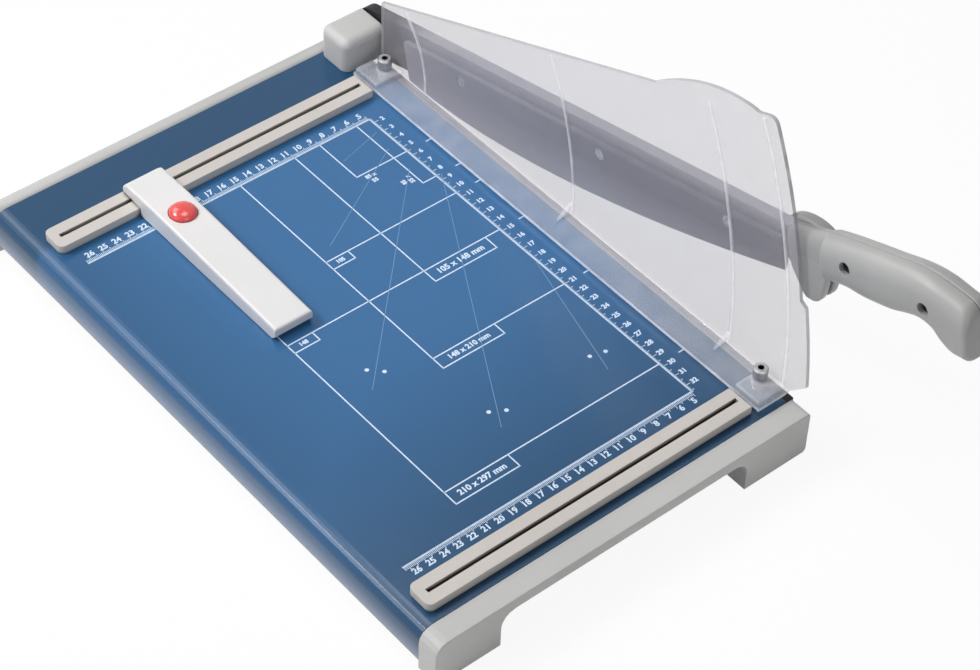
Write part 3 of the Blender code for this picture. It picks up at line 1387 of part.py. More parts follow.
def guard_posts(base):
    """Shoulder screws that guide the guard, with the springs that lift it off the paper."""
    head_level = pad_top + GUARD_RISE + SEAT_GAP
    for end, y in post_places:
        tail = head_level + POST_DEPTH - SEAT_GAP * 2 - beam_top
        small = POST_HEAD_HEIGHT / 7
        profile = (
            (0, POST_HEAD_HEIGHT), (POST_HEAD_RADIUS - small, POST_HEAD_HEIGHT),
            (POST_HEAD_RADIUS, POST_HEAD_HEIGHT - small), (POST_HEAD_RADIUS, 0),
            (POST_RADIUS, 0), (POST_RADIUS, -tail), (0, -tail),
        )
        post = turned(profile, (-POST_INSET, y, head_level), (0, 0, 1), ROUND_SIDES)
        top = (-POST_INSET, y, head_level + POST_HEAD_HEIGHT)
        socket(post, top, (0, 0, 1), POST_SOCKET_RADIUS, POST_SOCKET_DEPTH, base)
        finish(post, f"guard_post_{end}", "zinc", base)
        coil(f"clamp_spring_{end}", (-POST_INSET, y, SEAT_GAP), CLAMP_SPRING_RADIUS,
             CLAMP_SPRING_WIRE, CLAMP_SPRING_TURNS, CLAMP_SPRING_HEIGHT, "ground_steel", base)


# Back stop

def stop_outline():
    """Side view: low over the table, stepped up over the rail, with a back that slants in."""
    back = -RAIL_WIDTH
    over_table = RUN_GAP
    over_rail = rail_top + SEAT_GAP
    head_end = STOP_HEAD_FLAT
    return (
        (back, over_rail), (SEAT_GAP * 2, over_rail), (SEAT_GAP * 2, over_table),
        (STOP_LENGTH - STOP_NOSE, over_table), (STOP_LENGTH, over_table + STOP_NOSE),
        (STOP_LENGTH, STOP_NEAR_HEIGHT), (head_end, STOP_HEAD_HEIGHT),
        (back + STOP_BACK_SLANT, STOP_HEAD_HEIGHT), (back, STOP_HEAD_HEIGHT - STOP_BACK_SLANT),
    )


def stop_height(reach):
    """Height of the bar's top at a reach from the rail's paper face."""
    slope = (STOP_NEAR_HEIGHT - STOP_HEAD_HEIGHT) / (STOP_LENGTH - STOP_HEAD_FLAT)
    return STOP_HEAD_HEIGHT + min(0, slope * (reach - STOP_HEAD_FLAT))


def backstop_bar(stop):
    """The moulded bar: hollow from below, with a well for the button and a slot for the shoe."""
    bar = side_plate(stop_outline(), stop_left, STOP_WIDTH)
    low_edge = RUN_GAP + STOP_NOSE
    matrix = bar.matrix_world.copy()

    def on_upper_edges(first, second):
        ends = [matrix @ first, matrix @ second]
        return all(end.z > low_edge + STOP_NOSE / 2 for end in ends)

    round_edges(bar, STOP_ROUND, 2, on_upper_edges)
    wall = STOP_WALL
    hollow_end = STOP_LENGTH - STOP_NOSE - wall
    hollow = (
        (wall + SEAT_GAP, RUN_GAP - CUT_OVERRUN), (hollow_end, RUN_GAP - CUT_OVERRUN),
        (hollow_end, stop_height(hollow_end) - wall), (STOP_HEAD_FLAT, STOP_HEAD_HEIGHT - wall),
        (wall + SEAT_GAP, STOP_HEAD_HEIGHT - wall),
    )
    room = side_plate(hollow, stop_left + wall, STOP_WIDTH - wall * 2)
    cut(bar, as_cutter(room, "stop_hollow", stop))
    reach = BUTTON_BACK
    floor = button_skirt_level() - BUTTON_TRAVEL - SEAT_GAP
    tub_radius = BUTTON_RADIUS + BUTTON_WELL_GAP + BUTTON_WALL
    tub = rod((stop_middle, -reach, stop_height(reach) - wall / 2), (0, 0, -1),
              stop_height(reach) - wall / 2 - floor + BUTTON_WELL_FLOOR, tub_radius)
    join(bar, as_cutter(tub, "button_tub", stop))
    top = STOP_HEAD_HEIGHT + CUT_OVERRUN
    well = rod((stop_middle, -reach, top), (0, 0, -1), top - floor, BUTTON_RADIUS + BUTTON_WELL_GAP)
    cut(bar, as_cutter(well, "button_well", stop))
    guide = rod((stop_middle, -reach, top), (0, 0, -1), top, BUTTON_STEM_RADIUS + SEAT_GAP, SCREW_SIDES)
    cut(bar, as_cutter(guide, "stem_guide", stop))
    half_neck = SLOT_WIDTH / 2
    slot_middle = RAIL_WIDTH / 2
    slot = box(
        (stop_middle - SHOE_LENGTH / 2 - SEAT_GAP, slot_middle - half_neck, 0),
        (stop_middle + SHOE_LENGTH / 2 + SEAT_GAP, slot_middle + half_neck,
         rail_top + SHOE_NECK_TOP + SEAT_GAP * 2),
    )
    cut(bar, as_cutter(slot, "shoe_slot", stop))
    return finish(bar, "backstop_bar", "stop_plastic", stop)


def backstop_shoe(stop):
    """The T-shaped shoe that runs in the rail's slot."""
    middle = RAIL_WIDTH / 2
    floor = rail_base + SLOT_FLOOR + SEAT_GAP
    neck_half = SLOT_WIDTH / 2 - SEAT_GAP
    head_half = SLOT_POCKET_WIDTH / 2 - SEAT_GAP
    head_top = rail_base + SLOT_FLOOR + SLOT_POCKET_HEIGHT - SEAT_GAP
    left = stop_middle - SHOE_LENGTH / 2
    right = stop_middle + SHOE_LENGTH / 2
    head = box((left, middle - head_half, floor), (right, middle + head_half, head_top))
    neck = box((left, middle - neck_half, (floor + head_top) / 2),
               (right, middle + neck_half, rail_top + SHOE_NECK_TOP))
    join(head, as_cutter(neck, "shoe_neck", stop))
    return finish(head, "backstop_shoe", "ground_steel", stop)


def button_skirt_level():
    return stop_height(BUTTON_BACK) - BUTTON_SKIRT


def backstop_button(button):
    """The red dome: hollow below for its spring, with a stem that runs down through the bar."""
    level = button_skirt_level()
    ceiling = BUTTON_SKIRT + BUTTON_WALL
    inner = BUTTON_RADIUS - BUTTON_WALL
    rise = BUTTON_DOME
    profile = []
    for i in range(BUTTON_DOME_STEPS + 1):
        angle = math.radians(90) * i / BUTTON_DOME_STEPS
        profile.append((BUTTON_RADIUS * math.sin(angle), BUTTON_SKIRT + rise * math.cos(angle)))
    profile += [
        (BUTTON_RADIUS, 0), (inner, 0), (inner, ceiling), (BUTTON_STEM_RADIUS, ceiling),
        (BUTTON_STEM_RADIUS, ceiling - BUTTON_STEM_LENGTH), (0, ceiling - BUTTON_STEM_LENGTH),
    ]
    dome = turned(profile, (stop_middle, -BUTTON_BACK, level), (0, 0, 1), ROUND_SIDES)
    finish(dome, "backstop_button", "red_plastic", button)


def button_spring(stop):
    level = button_skirt_level()
    floor = level - BUTTON_TRAVEL - SEAT_GAP
    ceiling = level + BUTTON_SKIRT + BUTTON_WALL
    height = ceiling - floor - SEAT_GAP * 2
    coil("button_spring", (stop_middle, -BUTTON_BACK, floor + SEAT_GAP), BUTTON_SPRING_RADIUS,
         BUTTON_SPRING_WIRE, BUTTON_SPRING_TURNS, height, "ground_steel", stop)


# Whole object

def model_extents():
    """Lowest and highest corners of the object in model axes."""
    tilt_cos, tilt_sin = math.cos(ARM_REST_TILT), math.sin(ARM_REST_TILT)
    ends = []
    for share in handle_shares():
        for _, y, z in handle_ring(share, 1):
            ends.append(PIVOT_BACK + y * tilt_cos + z * tilt_sin)
    widest = arm_middle + max(handle_row(share)[3] for share in handle_shares())
    right = max(widest, bolt_head_left + BOLT_HEAD_HEIGHT)
    top = max(height for _, height in guard_outline())
    low = Vector((deck_left - CAP_SIDE_GAP, min(ends), rest_plane))
    high = Vector((right, deck_far + CAP_THICKNESS, top))
    return low, high


def carrier(name, parent, model_place):
    """An empty that carries a body; it remembers its place in model axes."""
    shift = Vector(parent["model_place"]) if parent else Vector((0, 0, 0))
    empty = new_empty(name, Vector(model_place) - shift, parent)
    empty["model_place"] = model_place
    return empty


def build():
    low, high = model_extents()
    base = new_empty("cutter_frame", (-(low.x + high.x) / 2, -(low.y + high.y) / 2, -low.z))
    base["model_place"] = (0, 0, 0)
    arm = new_empty("arm_axis", (0, PIVOT_BACK, PIVOT_HEIGHT), base)
    arm["model_place"] = (0, 0, 0)
    arm.rotation_euler = (-ARM_REST_TILT, 0, 0)
    guard = carrier("guard_carrier", base, (-POST_INSET, 0, pad_top))
    stop = carrier("backstop_carrier", base, (stop_middle, RAIL_WIDTH / 2, rail_top))
    button = carrier("button_carrier", stop, (stop_middle, -BUTTON_BACK, button_skirt_level()))

    shank = PAN_SHANK_RADIUS + SEAT_GAP
    holes = [(-POST_INSET, y, POST_RADIUS + SEAT_GAP) for _, y in post_places]
    holes += [(x, y, shank) for x, y in bracket_screw_places()]
    rails = (("far_rail", 0, 1), ("near_rail", near_rail_face, -1))
    for _, face, outward in rails:
        holes += [(x, rail_side(face, outward), shank) for x in rail_screw_places()]
    table_deck(base, holes)
    end_cap("end_cap_far", deck_far, 1, base)
    end_cap("end_cap_near", deck_near, -1, base)
    foot_pads(base)
    cap_screws(base)
    knife_beam(base)
    counter_blade(base)
    for name, face, outward in rails:
        paper_rail(name, face, outward, base)
    pivot_bracket(base)
    pivot_hardware(base)
    pivot_cap(base)
    knife_blade(arm)
    knife_arm(arm)
    arm_bush(arm)
    handle_half("handle_left", -1, arm)
    handle_half("handle_right", 1, arm)
    handle_screws(arm)
    safety_guard(guard)
    guard_posts(base)
    backstop_bar(stop)
    backstop_shoe(stop)
    backstop_button(button)
    button_spring(stop)


build()
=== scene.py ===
# Guillotine paper cutter: the looks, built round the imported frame.
# Lengths are metres. Model axes: x = 0 at the cutting edge and + to its right, y = 0 at the far
# rail's paper face and + to the pivot end, z = 0 on the table top.

import json
import math

import bmesh
import bpy
from mathutils import Matrix, Vector

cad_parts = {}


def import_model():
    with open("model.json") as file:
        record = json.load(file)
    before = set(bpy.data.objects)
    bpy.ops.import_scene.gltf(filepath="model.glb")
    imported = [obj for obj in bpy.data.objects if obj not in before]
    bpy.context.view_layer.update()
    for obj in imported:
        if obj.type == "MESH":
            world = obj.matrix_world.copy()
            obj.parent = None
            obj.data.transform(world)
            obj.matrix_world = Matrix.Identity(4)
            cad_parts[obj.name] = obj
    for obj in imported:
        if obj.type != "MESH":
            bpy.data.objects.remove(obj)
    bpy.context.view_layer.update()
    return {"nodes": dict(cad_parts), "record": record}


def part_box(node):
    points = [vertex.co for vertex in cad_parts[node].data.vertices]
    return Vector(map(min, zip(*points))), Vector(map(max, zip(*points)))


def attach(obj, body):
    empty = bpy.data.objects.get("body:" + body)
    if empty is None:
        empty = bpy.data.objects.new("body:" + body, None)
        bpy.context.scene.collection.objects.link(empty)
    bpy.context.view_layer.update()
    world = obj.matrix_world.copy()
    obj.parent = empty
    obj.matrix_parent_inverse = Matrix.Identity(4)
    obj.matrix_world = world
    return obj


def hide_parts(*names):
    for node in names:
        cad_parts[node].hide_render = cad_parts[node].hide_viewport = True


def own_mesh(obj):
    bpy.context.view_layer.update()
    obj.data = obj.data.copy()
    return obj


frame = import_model()

# Camera, fitted to the photograph's format lines
CAMERA_AZIMUTH = math.radians(-41.405)
CAMERA_ELEVATION = math.radians(45.349)
CAMERA_ROLL = math.radians(2.352)
CAMERA_AIM_FROM_ORIGIN = Vector((-0.108349, -0.215753, 0))
CAMERA_DISTANCE = 1.724151
CAMERA_FOCAL_PIXELS = 2858.473
IMAGE_WIDTH = 980
SENSOR_WIDTH = 36

# Lamps. Each row: name, place, size and watts
LAMPS = (
    ("key", (-1.52, 1.40, 2.05), 0.8, 50),
    ("back", (-0.35, 2.2, 2.0), 1.2, 18),
    ("table", (-0.01, 0.107, 0.66), 0.30, 1.3),
    ("left", (-2.2, 0.1, 1.1), 1.2, 5),
    ("front", (-0.3, -2.0, 0.9), 1.2, 8),
)
AMBIENT_STRENGTH = 0.12
WHITE = (1, 1, 1, 1)
FLOOR_HALF = 9.0
FLOOR_WHITE_SHARE = 0.92
FLOOR_COLOUR = (0.93, 0.93, 0.93, 1)

# Moulded plastics by slot. Each row: material name, dark and pale colour, roughness, scale of the
# grain, radius of the worn edges, their wear, strength of the grain and of the painted shade that
# darkens slots and hollows
MOULDED_LOOKS = {
    "grey_plastic": ("cap_grey_plastic", (0.490, 0.488, 0.482), (0.532, 0.530, 0.524), 0.52,
                     2200, 0.0009, 0.25, 0.3, 0),
    "handle_grey": ("handle_grey_plastic", (0.345, 0.345, 0.342), (0.385, 0.385, 0.381), 0.38,
                    2600, 0.0006, 0.25, 0.3, 0),
    "rail_plastic": ("rail_pale_plastic", (0.545, 0.512, 0.482), (0.595, 0.560, 0.528), 0.48,
                     1800, 0.0004, 0.25, 0.3, 0.95),
    "stop_plastic": ("stop_white_plastic", (0.700, 0.690, 0.690), (0.750, 0.742, 0.740), 0.40,
                     2400, 0.0005, 0.15, 0.2, 0),
}
# painted shade in slots and hollows: how far it reaches and its colour
SLOT_SHADE_REACH = 0.005
SLOT_SHADE_COLOUR = (0.075, 0.060, 0.045)

# Metals by slot. Each row: material name, dark and pale colour, roughness, direction of the grain,
# its strength and how metallic it is
GRAIN_ALONG = (9, 0.35, 9)
GRAIN_ROUND = (1, 1, 1)
METAL_LOOKS = {
    "dark_metal": ("dark_blackened_steel", (0.012, 0.013, 0.016), (0.026, 0.028, 0.033), 0.42,
                   GRAIN_ALONG, 0.2, 0.5),
    "ground_steel": ("ground_blade_steel", (0.40, 0.40, 0.43), (0.44, 0.44, 0.47), 0.30,
                     GRAIN_ALONG, 0.03, 1),
    "zinc": ("bright_zinc_plate", (0.60, 0.60, 0.61), (0.74, 0.74, 0.74), 0.26,
             GRAIN_ROUND, 0.2, 1),
    "brass": ("bearing_brass", (0.60, 0.42, 0.16), (0.74, 0.55, 0.24), 0.33,
              GRAIN_ROUND, 0.35, 1),
}
POST_LOOK = ("dull_zinc_plate", (0.34, 0.34, 0.35), (0.46, 0.46, 0.47), 0.44, GRAIN_ROUND, 0.2, 1)

# Clear plastics of the guard and the numbers of its faces; the edge and rib plastics are whiter and
# more opaque as a painted highlight, and the rim's is grey as painted shade. Each row: material name,
# alpha, roughness, colour and the share of the alpha at the thinnest and the thickest haze
GUARD_WALL, GUARD_FLANGE, GUARD_EDGE_HIGHLIGHT, GUARD_RIM_SHADE, GUARD_RIB_HIGHLIGHT, GUARD_PAD = range(6)
HAZE_SHARES = (0.8, 1.25)
GUARD_LOOKS = (
    ("guard_clear_wall", 0.28, 0.14, (0.495, 0.468, 0.512), (0.97, 1.03)),
    ("guard_clear_flange", 0.145, 0.30, (0.92, 0.93, 0.98), HAZE_SHARES),
    # edge plastic: white and nearly opaque, a painted highlight
    ("guard_edge_painted_highlight", 0.85, 0.20, (0.90, 0.91, 0.97), HAZE_SHARES),
    # rim plastic: grey, painted shade along the rim
    ("guard_rim_painted_shade", 0.70, 0.20, (0.30, 0.30, 0.33), HAZE_SHARES),
    # rib plastic: whiter, a painted highlight
    ("guard_rib_painted_highlight", 0.42, 0.20, (0.95, 0.95, 0.98), HAZE_SHARES),
    ("guard_clear_pad", 0.30, 0.25, (0.86, 0.87, 0.92), HAZE_SHARES),
)
CLEAR_GRAIN = (1, 0.25, 1)

# Deck paint: base, two cloud colours, painted shade towards the ends and the left, a painted
# reflection of the floor on the apron's foot, specks and worn edges
PAINT_BASE = (0.035, 0.132, 0.295)
PAINT_CLOUDS = ((0.027, 0.124, 0.294), (0.033, 0.138, 0.318))
PAINT_SHADE = (0.008, 0.058, 0.138)
PAINT_FLOOR_REFLECTION = (0.30, 0.34, 0.42)
PAINT_SPECKS = (0.062, 0.175, 0.360)
PAINT_WORN = (0.20, 0.34, 0.56)

# Spans over which a colour comes in: painted shade on the deck, a painted reflection of the floor on
# its apron, and the counter blade's black near end, partly painted shade. Each row: axis, full share,
# start and end from the model's origin
# painted shade: behind the far rail, over the near end and towards the left side
PAINTED_SHADE_SPANS = ((1, 1, 0.002, 0.014), (1, 1, -0.190, -0.356), (0, 0.50, -0.190, -0.284))
# painted reflection of the white floor on the apron's foot
FLOOR_REFLECTION_SPAN = (2, 0.84, -0.012, -0.026)
# black near end of the counter blade: its dark end and painted shade of the gap by the end cap
COUNTER_END_BLACK_AND_SHADE_SPAN = (1, 1, -0.352, -0.356)

# Satin steel of the arm: distances from the pivot, for the black hub and for painted shade towards the
# handle, then heights over the arm's axis, for a painted highlight along the top and a paler ground
# bevel along the blade's lower edge, partly painted highlight
HUB_BLACK_SPAN = (0.030, 0.060)
ARM_PAINTED_SHADE_SPAN = (0.040, 0.260)
ARM_TOP_HIGHLIGHT_SPAN = (0.007, 0.019)
BLADE_BEVEL_AND_HIGHLIGHT_SPAN = (-0.006, -0.042)
PAINTED_HIGHLIGHT_SHARE = 0.85

# Depths of the grain, and radii over which edges look rounded
FINE_DEPTH = 0.00001
METAL_DEPTH = 0.00002
PAINT_DEPTH = 0.00003
PLASTIC_DEPTH = 0.00004
RUBBER_DEPTH = 0.00005
CLEAR_DEPTH = 0.00010
METAL_EDGE = 0.0003
RUBBER_EDGE = 0.0004
SATIN_EDGE = 0.0005
PAINT_EDGE = 0.0006
EDGE_SAMPLES = 4

# Sockets of the colours in Blender's mix node
MIX_FIRST = 6
MIX_SECOND = 7
MIX_RESULT = 2

# Fits shared with the frame
SEAT_GAP = 0.0003
RUN_GAP = 0.0006
CUT_OVERRUN = 0.004

# Distances within which points are welded, the angle of a sharp edge, and directions of drilling
WELD = 0.000001
FRAME_WELD = 0.00001
CARVE_WELD = 0.00002
SHARP_ANGLE = math.radians(35)
LEFTWARDS = (-1, 0, 0)
DOWNWARDS = (0, 0, -1)

# Knife arm, as in the frame
PIVOT_BACK = 0.042
PIVOT_HEIGHT = 0.011
ARM_REST_TILT = math.radians(13.1)
ARM_LEFT = 0.0044
ARM_THICKNESS = 0.008
BLADE_REACH = 0.396
TONGUE_HALF_HEIGHT = 0.0075
TONGUE_LENGTH_SHARE = 0.76
TONGUE_STEPS = 18

# Handle, as in the frame with finer steps
HANDLE_START_GAP = 0.002
HANDLE_LENGTH = 0.158
HANDLE_HEIGHT = 0.045
HANDLE_HALF_WIDTH = 0.013
HANDLE_FULLNESS = 2.6
HANDLE_STATIONS = 110
HANDLE_RING = 29
HANDLE_SPLIT_CHAMFER = 0.0008
HANDLE_TAIL_FULLNESS = 4.0
HANDLE_TAIL_SHARES = (0.62, 0.78)
HANDLE_ROOT_SHARE = 0.54
HANDLE_SHOULDER_SHARES = (0.176, 0.200)
HANDLE_SHOULDER_STEPS = 14
# Rounding of the blunt tail below, on top and at the sides
HANDLE_END_ROUNDS = (0.0025, 0.0060, 0.0040)
HANDLE_END_STEPS = 14
# Each row: station, underside, top and half width, as shares of length, height and half width
HANDLE_SECTION_SHARES = (
    (0.000, -0.200, 0.429, 0.900),
    (0.108, -0.205, 0.489, 0.900),
    (0.203, -0.125, 0.551, 0.900),
    (0.297, -0.070, 0.607, 0.900),
    (0.392, -0.085, 0.653, 0.910),
    (0.519, -0.051, 0.700, 0.930),
    (0.614, 0.033, 0.738, 0.950),
    (0.684, 0.075, 0.740, 0.965),
    (0.739, 0.040, 0.718, 0.985),
    (0.785, -0.095, 0.686, 1.000),
    (0.823, -0.165, 0.654, 1.000),
    (0.860, -0.170, 0.618, 1.000),
    (0.9045, -0.175, 0.568, 1.000),
)
LUG_LENGTH = 0.032
LUG_DROP = 0.0250
LUG_OUTLINE_SHARES = (
    (0.00, 0.20), (0.06, -0.30), (0.33, -0.91), (0.50, -1.00),
    (0.67, -0.96), (0.81, -0.75), (0.95, -0.20), (0.95, 0.20),
)
LUG_SLOT = 0.0028
LUG_STEPS = 6
LUG_ROUND_STEPS = 4
THUMB_REST_HALF_LENGTH = 0.0185
THUMB_REST_HALF_HEIGHT = 0.0095
THUMB_REST_STATION_SHARE = 0.058
THUMB_REST_HEIGHT_SHARE = 0.30
THUMB_REST_INNER = 0.0010
THUMB_REST_THICKNESS = 0.00849
THUMB_REST_SIDES = 72
THUMB_REST_ROUND_STEPS = 5
HANDLE_SCREW_SHARES = ((0.322, 0.32), (0.704, 0.345))
HANDLE_SCREW_SEAT = 0.0063
HANDLE_SCREW_HEAD_RADIUS = 0.0038
HANDLE_SCREW_RADIUS = 0.0020
HOLE_SIDES = 40

# Guard, as in the frame with finer steps
CUT_LENGTH = 0.3415
RAIL_WIDTH = 0.0195
GUARD_WALL_GAP = 0.0006
GUARD_SHEET = 0.0025
GUARD_BEND = 0.005
GUARD_WIDTH = 0.0262
GUARD_LIFT = 0.0023
GUARD_FAR_OVERHANG = 0.0045
GUARD_NEAR_OVERHANG = 0.0030
GUARD_PAD_HEIGHT = 0.006
GUARD_PAD_ROUND = 0.0015
GUARD_PAD_ROUND_STEPS = 5
GUARD_PAD_LIP = 0.0006
GUARD_TOP_AT_PIVOT = 0.033
GUARD_TOP_SLOPE = math.radians(22.06)
GUARD_EDGE_OVERHANG = 0.0152
GUARD_EDGE_FOOT = 0.0185
GUARD_FOOT_FLARE = 0.0085
GUARD_LIP_FLARE = 0.0045
GUARD_LIP_HEIGHT = 0.076
GUARD_LIP_RISE = 0.0035
GUARD_LIP_STEPS = 16
GUARD_CORNER_ROUND = 0.0059
GUARD_HUMP_HEIGHT = 0.0094
GUARD_HUMP_SHARES = (0.663, 0.865)
GUARD_HUMP_STEPS = 28
GUARD_HUMP_FULLNESS = 0.8
GUARD_EDGE_STEPS = 44
GUARD_CORNER_STEPS = 8
GUARD_BEND_STEPS = 12
GUARD_RIM_INSET = 0.0102
GUARD_RIB_SHARES = (0.156, 0.513, 0.863)
GUARD_RIB_WIDTH = 0.0022
GUARD_RIB_HEIGHT = 0.0009
GUARD_RIB_STEPS = 40
FACING_SHARE = 0.5
GUSSET_SIZE = 0.0065
GUSSET_THICKNESS = 0.0024
POST_INSET = 0.0100
POST_BACK = 0.0115
POST_FORWARD = 0.0060
POST_RADIUS = 0.0028
POST_HEAD_SHARE = 0.74
# reach of the socket faces that take dark metal as painted shade
POST_SHADED_SOCKET_REACH = 0.0027
PAD_WELL_RADIUS = 0.0058
PAD_WELL_DEPTH = 0.0040

# Far end cap: radius of its rolled-off far edge
FAR_CAP_ROLL = 0.0105
FAR_CAP_ROLL_STEPS = 24

# Red button, as in the frame with a finer turning
BUTTON_RADIUS = 0.0090
BUTTON_DOME = 0.0048
BUTTON_SKIRT = 0.0014
BUTTON_WALL = 0.0016
BUTTON_STEM_RADIUS = 0.0026
BUTTON_STEM_LENGTH = 0.0125
BUTTON_DOME_STEPS = 20
BUTTON_SIDES = 72
BUTTON_TIP_ROUND = 0.0003

# Printed marks: places are distances to the left of the cutting edge and to the near side of the
# far rail's paper face
PRINT_PROUD = 0.00003
PRINT_SUNK = 0.00002
LINE_WIDTH = 0.0013
THIN_WIDTH = 0.0009
FAINT_WIDTH = 0.0005
TICK_WIDTH = 0.00042
ORIGIN_LINE = 0.0157
NEAR_LINE = 0.3260
EDGE_LINE = 0.0441
RULER_END = 0.2635
# Each format: how far left it reaches and how far down, as sheets laid against both rulers
SHEET_FORMATS = (
    (0.105, 0.148), (0.148, 0.105), (0.148, 0.210), (0.210, 0.148), (0.210, 0.297),
    (0.085, 0.055), (0.055, 0.085),
)
# Each upright line of a sheet: how far left it is and how far down it reaches
UPRIGHT_SHEETS = ((0.105, 0.1595), (0.148, 0.220), (0.210, 0.308), (0.085, 0.055), (0.055, 0.085))
# Each box: its left, right, top and bottom side, and its text
LABEL_BOXES = (
    (0.105, 0.056, 0.148, 0.1595, "105 x 148 mm"),
    (0.148, 0.1003, 0.210, 0.220, "148 x 210 mm"),
    (0.210, 0.1625, 0.297, 0.308, "210 x 297 mm"),
    (0.148, 0.131, 0.105, 0.1127, "105"),
    (0.210, 0.1913, 0.148, 0.1557, "148"),
)
LABEL_TEXT_SHARE = 0.38
EDGE_MARKS = (0.055, 0.085, 0.105, 0.148, 0.210, 0.297)
EDGE_MARK_SPAN = (0.0235, 0.0285)
EDGE_NUMBER_PLACE = 0.0368
EDGE_NUMBER_HEIGHT = 0.0034
RULER_STEP = 0.001
NUMBER_STEP = 0.010
TICKS_IN_NUMBER = round(NUMBER_STEP / RULER_STEP)
# Lengths of the ticks at a number, halfway and between
RULER_TICKS = (0.0050, 0.0040, 0.0028)
EDGE_TICKS = (*RULER_TICKS[1:], LINE_WIDTH)
RULER_NUMBER_HEIGHT = 0.0042
RULER_NUMBER_GAP = 0.0042
RULER_NUMBER_SHIFT = 0.0020
FIRST_NUMBER = 5
FIRST_EDGE_NUMBER = 2
# Each line: its angle, and its start and end from the corner; each pair of dots: angle and reach
ANGLE_LINES = (
    (15, 0.175, 0.275), (30, 0.080, 0.303), (45, 0.075, 0.272), (60, 0.060, 0.158),
    (75, 0.050, 0.085),
)
DOT_PAIRS = ((15, 0.261), (30, 0.290), (45, 0.256))
DOT_SPREAD = 0.0053
DOT_RADIUS = 0.0014
DOT_SIDES = 20
# Each small text: its left and down place and its turn
SMALL_TEXTS = (
    ("85 x", (0.0770, 0.0590), 0), ("55", (0.0770, 0.0640), 0),
    ("55 x", (0.0590, 0.0770), math.radians(90)), ("85", (0.0640, 0.0770), math.radians(90)),
)
SMALL_TEXT_HEIGHT = 0.0030
FONT_CAP_SHARE = 0.70
TEXT_WEIGHT = 0.00022
TEXT_CURVE_STEPS = 3

# Places worked out from the sizes above
counter_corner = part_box("counter_blade")[1]
far_rail_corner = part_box("far_rail")[0]
ORIGIN = Vector((counter_corner.x, far_rail_corner.y, counter_corner.z))
arm_middle = ARM_LEFT + ARM_THICKNESS / 2
handle_start = BLADE_REACH + HANDLE_START_GAP
guard_edge_radius = BLADE_REACH + GUARD_EDGE_OVERHANG
camera_target = ORIGIN + CAMERA_AIM_FROM_ORIGIN
guard_right = -GUARD_WALL_GAP
guard_left = -GUARD_WIDTH
wall_left = guard_right - GUARD_SHEET
guard_far = RAIL_WIDTH + GUARD_FAR_OVERHANG
guard_near = -CUT_LENGTH - RAIL_WIDTH - GUARD_NEAR_OVERHANG
guard_near_paper = -CUT_LENGTH
pad_top = GUARD_LIFT + GUARD_PAD_HEIGHT
post_places = (POST_BACK, -CUT_LENGTH - POST_FORWARD)
model_to_row = Matrix.Translation(ORIGIN)
arm_to_row = (
    Matrix.Translation(ORIGIN + Vector((0, PIVOT_BACK, PIVOT_HEIGHT)))
    @ Matrix.Rotation(-ARM_REST_TILT, 4, "X")
)


# Node helpers: each works in the tree of the node, socket or tree that it is given first

def fill(node, inputs):
    """Gives inputs of a node their links or their plain values."""
    for key, value in inputs.items():
        if isinstance(value, bpy.types.NodeSocket):
            node.id_data.links.new(value, node.inputs[key])
        else:
            node.inputs[key].default_value = value


def add_node(owner, kind, inputs, operation=None):
    node = owner.id_data.nodes.new("ShaderNode" + kind)
    if operation:
        node.operation = operation
    fill(node, inputs)
    return node


def new_material(name, colour, roughness, metallic=0.0):
    """A Principled material and its shader; the three plain values can be linked over later."""
    material = bpy.data.materials.new(name)
    material.use_nodes = True
    shader = material.node_tree.nodes["Principled BSDF"]
    fill(shader, {"Base Color": (*colour, 1), "Roughness": roughness, "Metallic": metallic})
    return material, shader


def object_place(owner):
    return add_node(owner, "TexCoord", {}).outputs["Object"]


def place_node(owner, stretch=GRAIN_ROUND):
    """Coordinates in the piece's own metres, stretched for brushed or drawn grain."""
    inputs = {"Vector": object_place(owner), "Scale": stretch}
    return add_node(owner, "Mapping", inputs).outputs["Vector"]


def noise(place, scale, detail, roughness=0.5):
    inputs = {"Vector": place, "Scale": scale, "Detail": detail, "Roughness": roughness}
    return add_node(place, "TexNoise", inputs).outputs["Fac"]


def remap(value, low, high, start=0.3, end=0.7):
    """Turns a value between start and end, by default a noise, into a range."""
    inputs = {"Value": value, "From Min": start, "From Max": end, "To Min": low, "To Max": high}
    return add_node(value, "MapRange", inputs).outputs["Result"]


def mix_colours(share, first, second):
    """Mixes two colours, or a colour socket and a colour, by a value."""
    node = share.id_data.nodes.new("ShaderNodeMix")
    node.data_type = "RGBA"
    if not isinstance(first, bpy.types.NodeSocket):
        first = (*first, 1)
    fill(node, {"Factor": share, MIX_FIRST: first, MIX_SECOND: (*second, 1)})
    return node.outputs[MIX_RESULT]


def drawn(grain, dark, pale):
    return mix_colours(remap(grain, 0, 1), dark, pale)


def lighter(colour, times, plus=0):
    return tuple(min(1.0, value * times + plus) for value in colour)


def math_node(operation, first, second):
    return add_node(first, "Math", {0: first, 1: second}, operation).outputs["Value"]


def rounded_normal(owner, radius):
    """Softens the shading of sharp edges over a small radius."""
    node = add_node(owner, "Bevel", {"Radius": radius})
    node.samples = EDGE_SAMPLES
    return node.outputs["Normal"]


def bump(shader, height, depth, strength, edge_radius=0):
    """Grain, and edges that look rounded where they have a radius."""
    inputs = {"Height": height, "Distance": depth, "Strength": strength}
    if edge_radius:
        inputs["Normal"] = rounded_normal(shader, edge_radius)
    fill(shader, {"Normal": add_node(shader, "Bump", inputs).outputs["Normal"]})


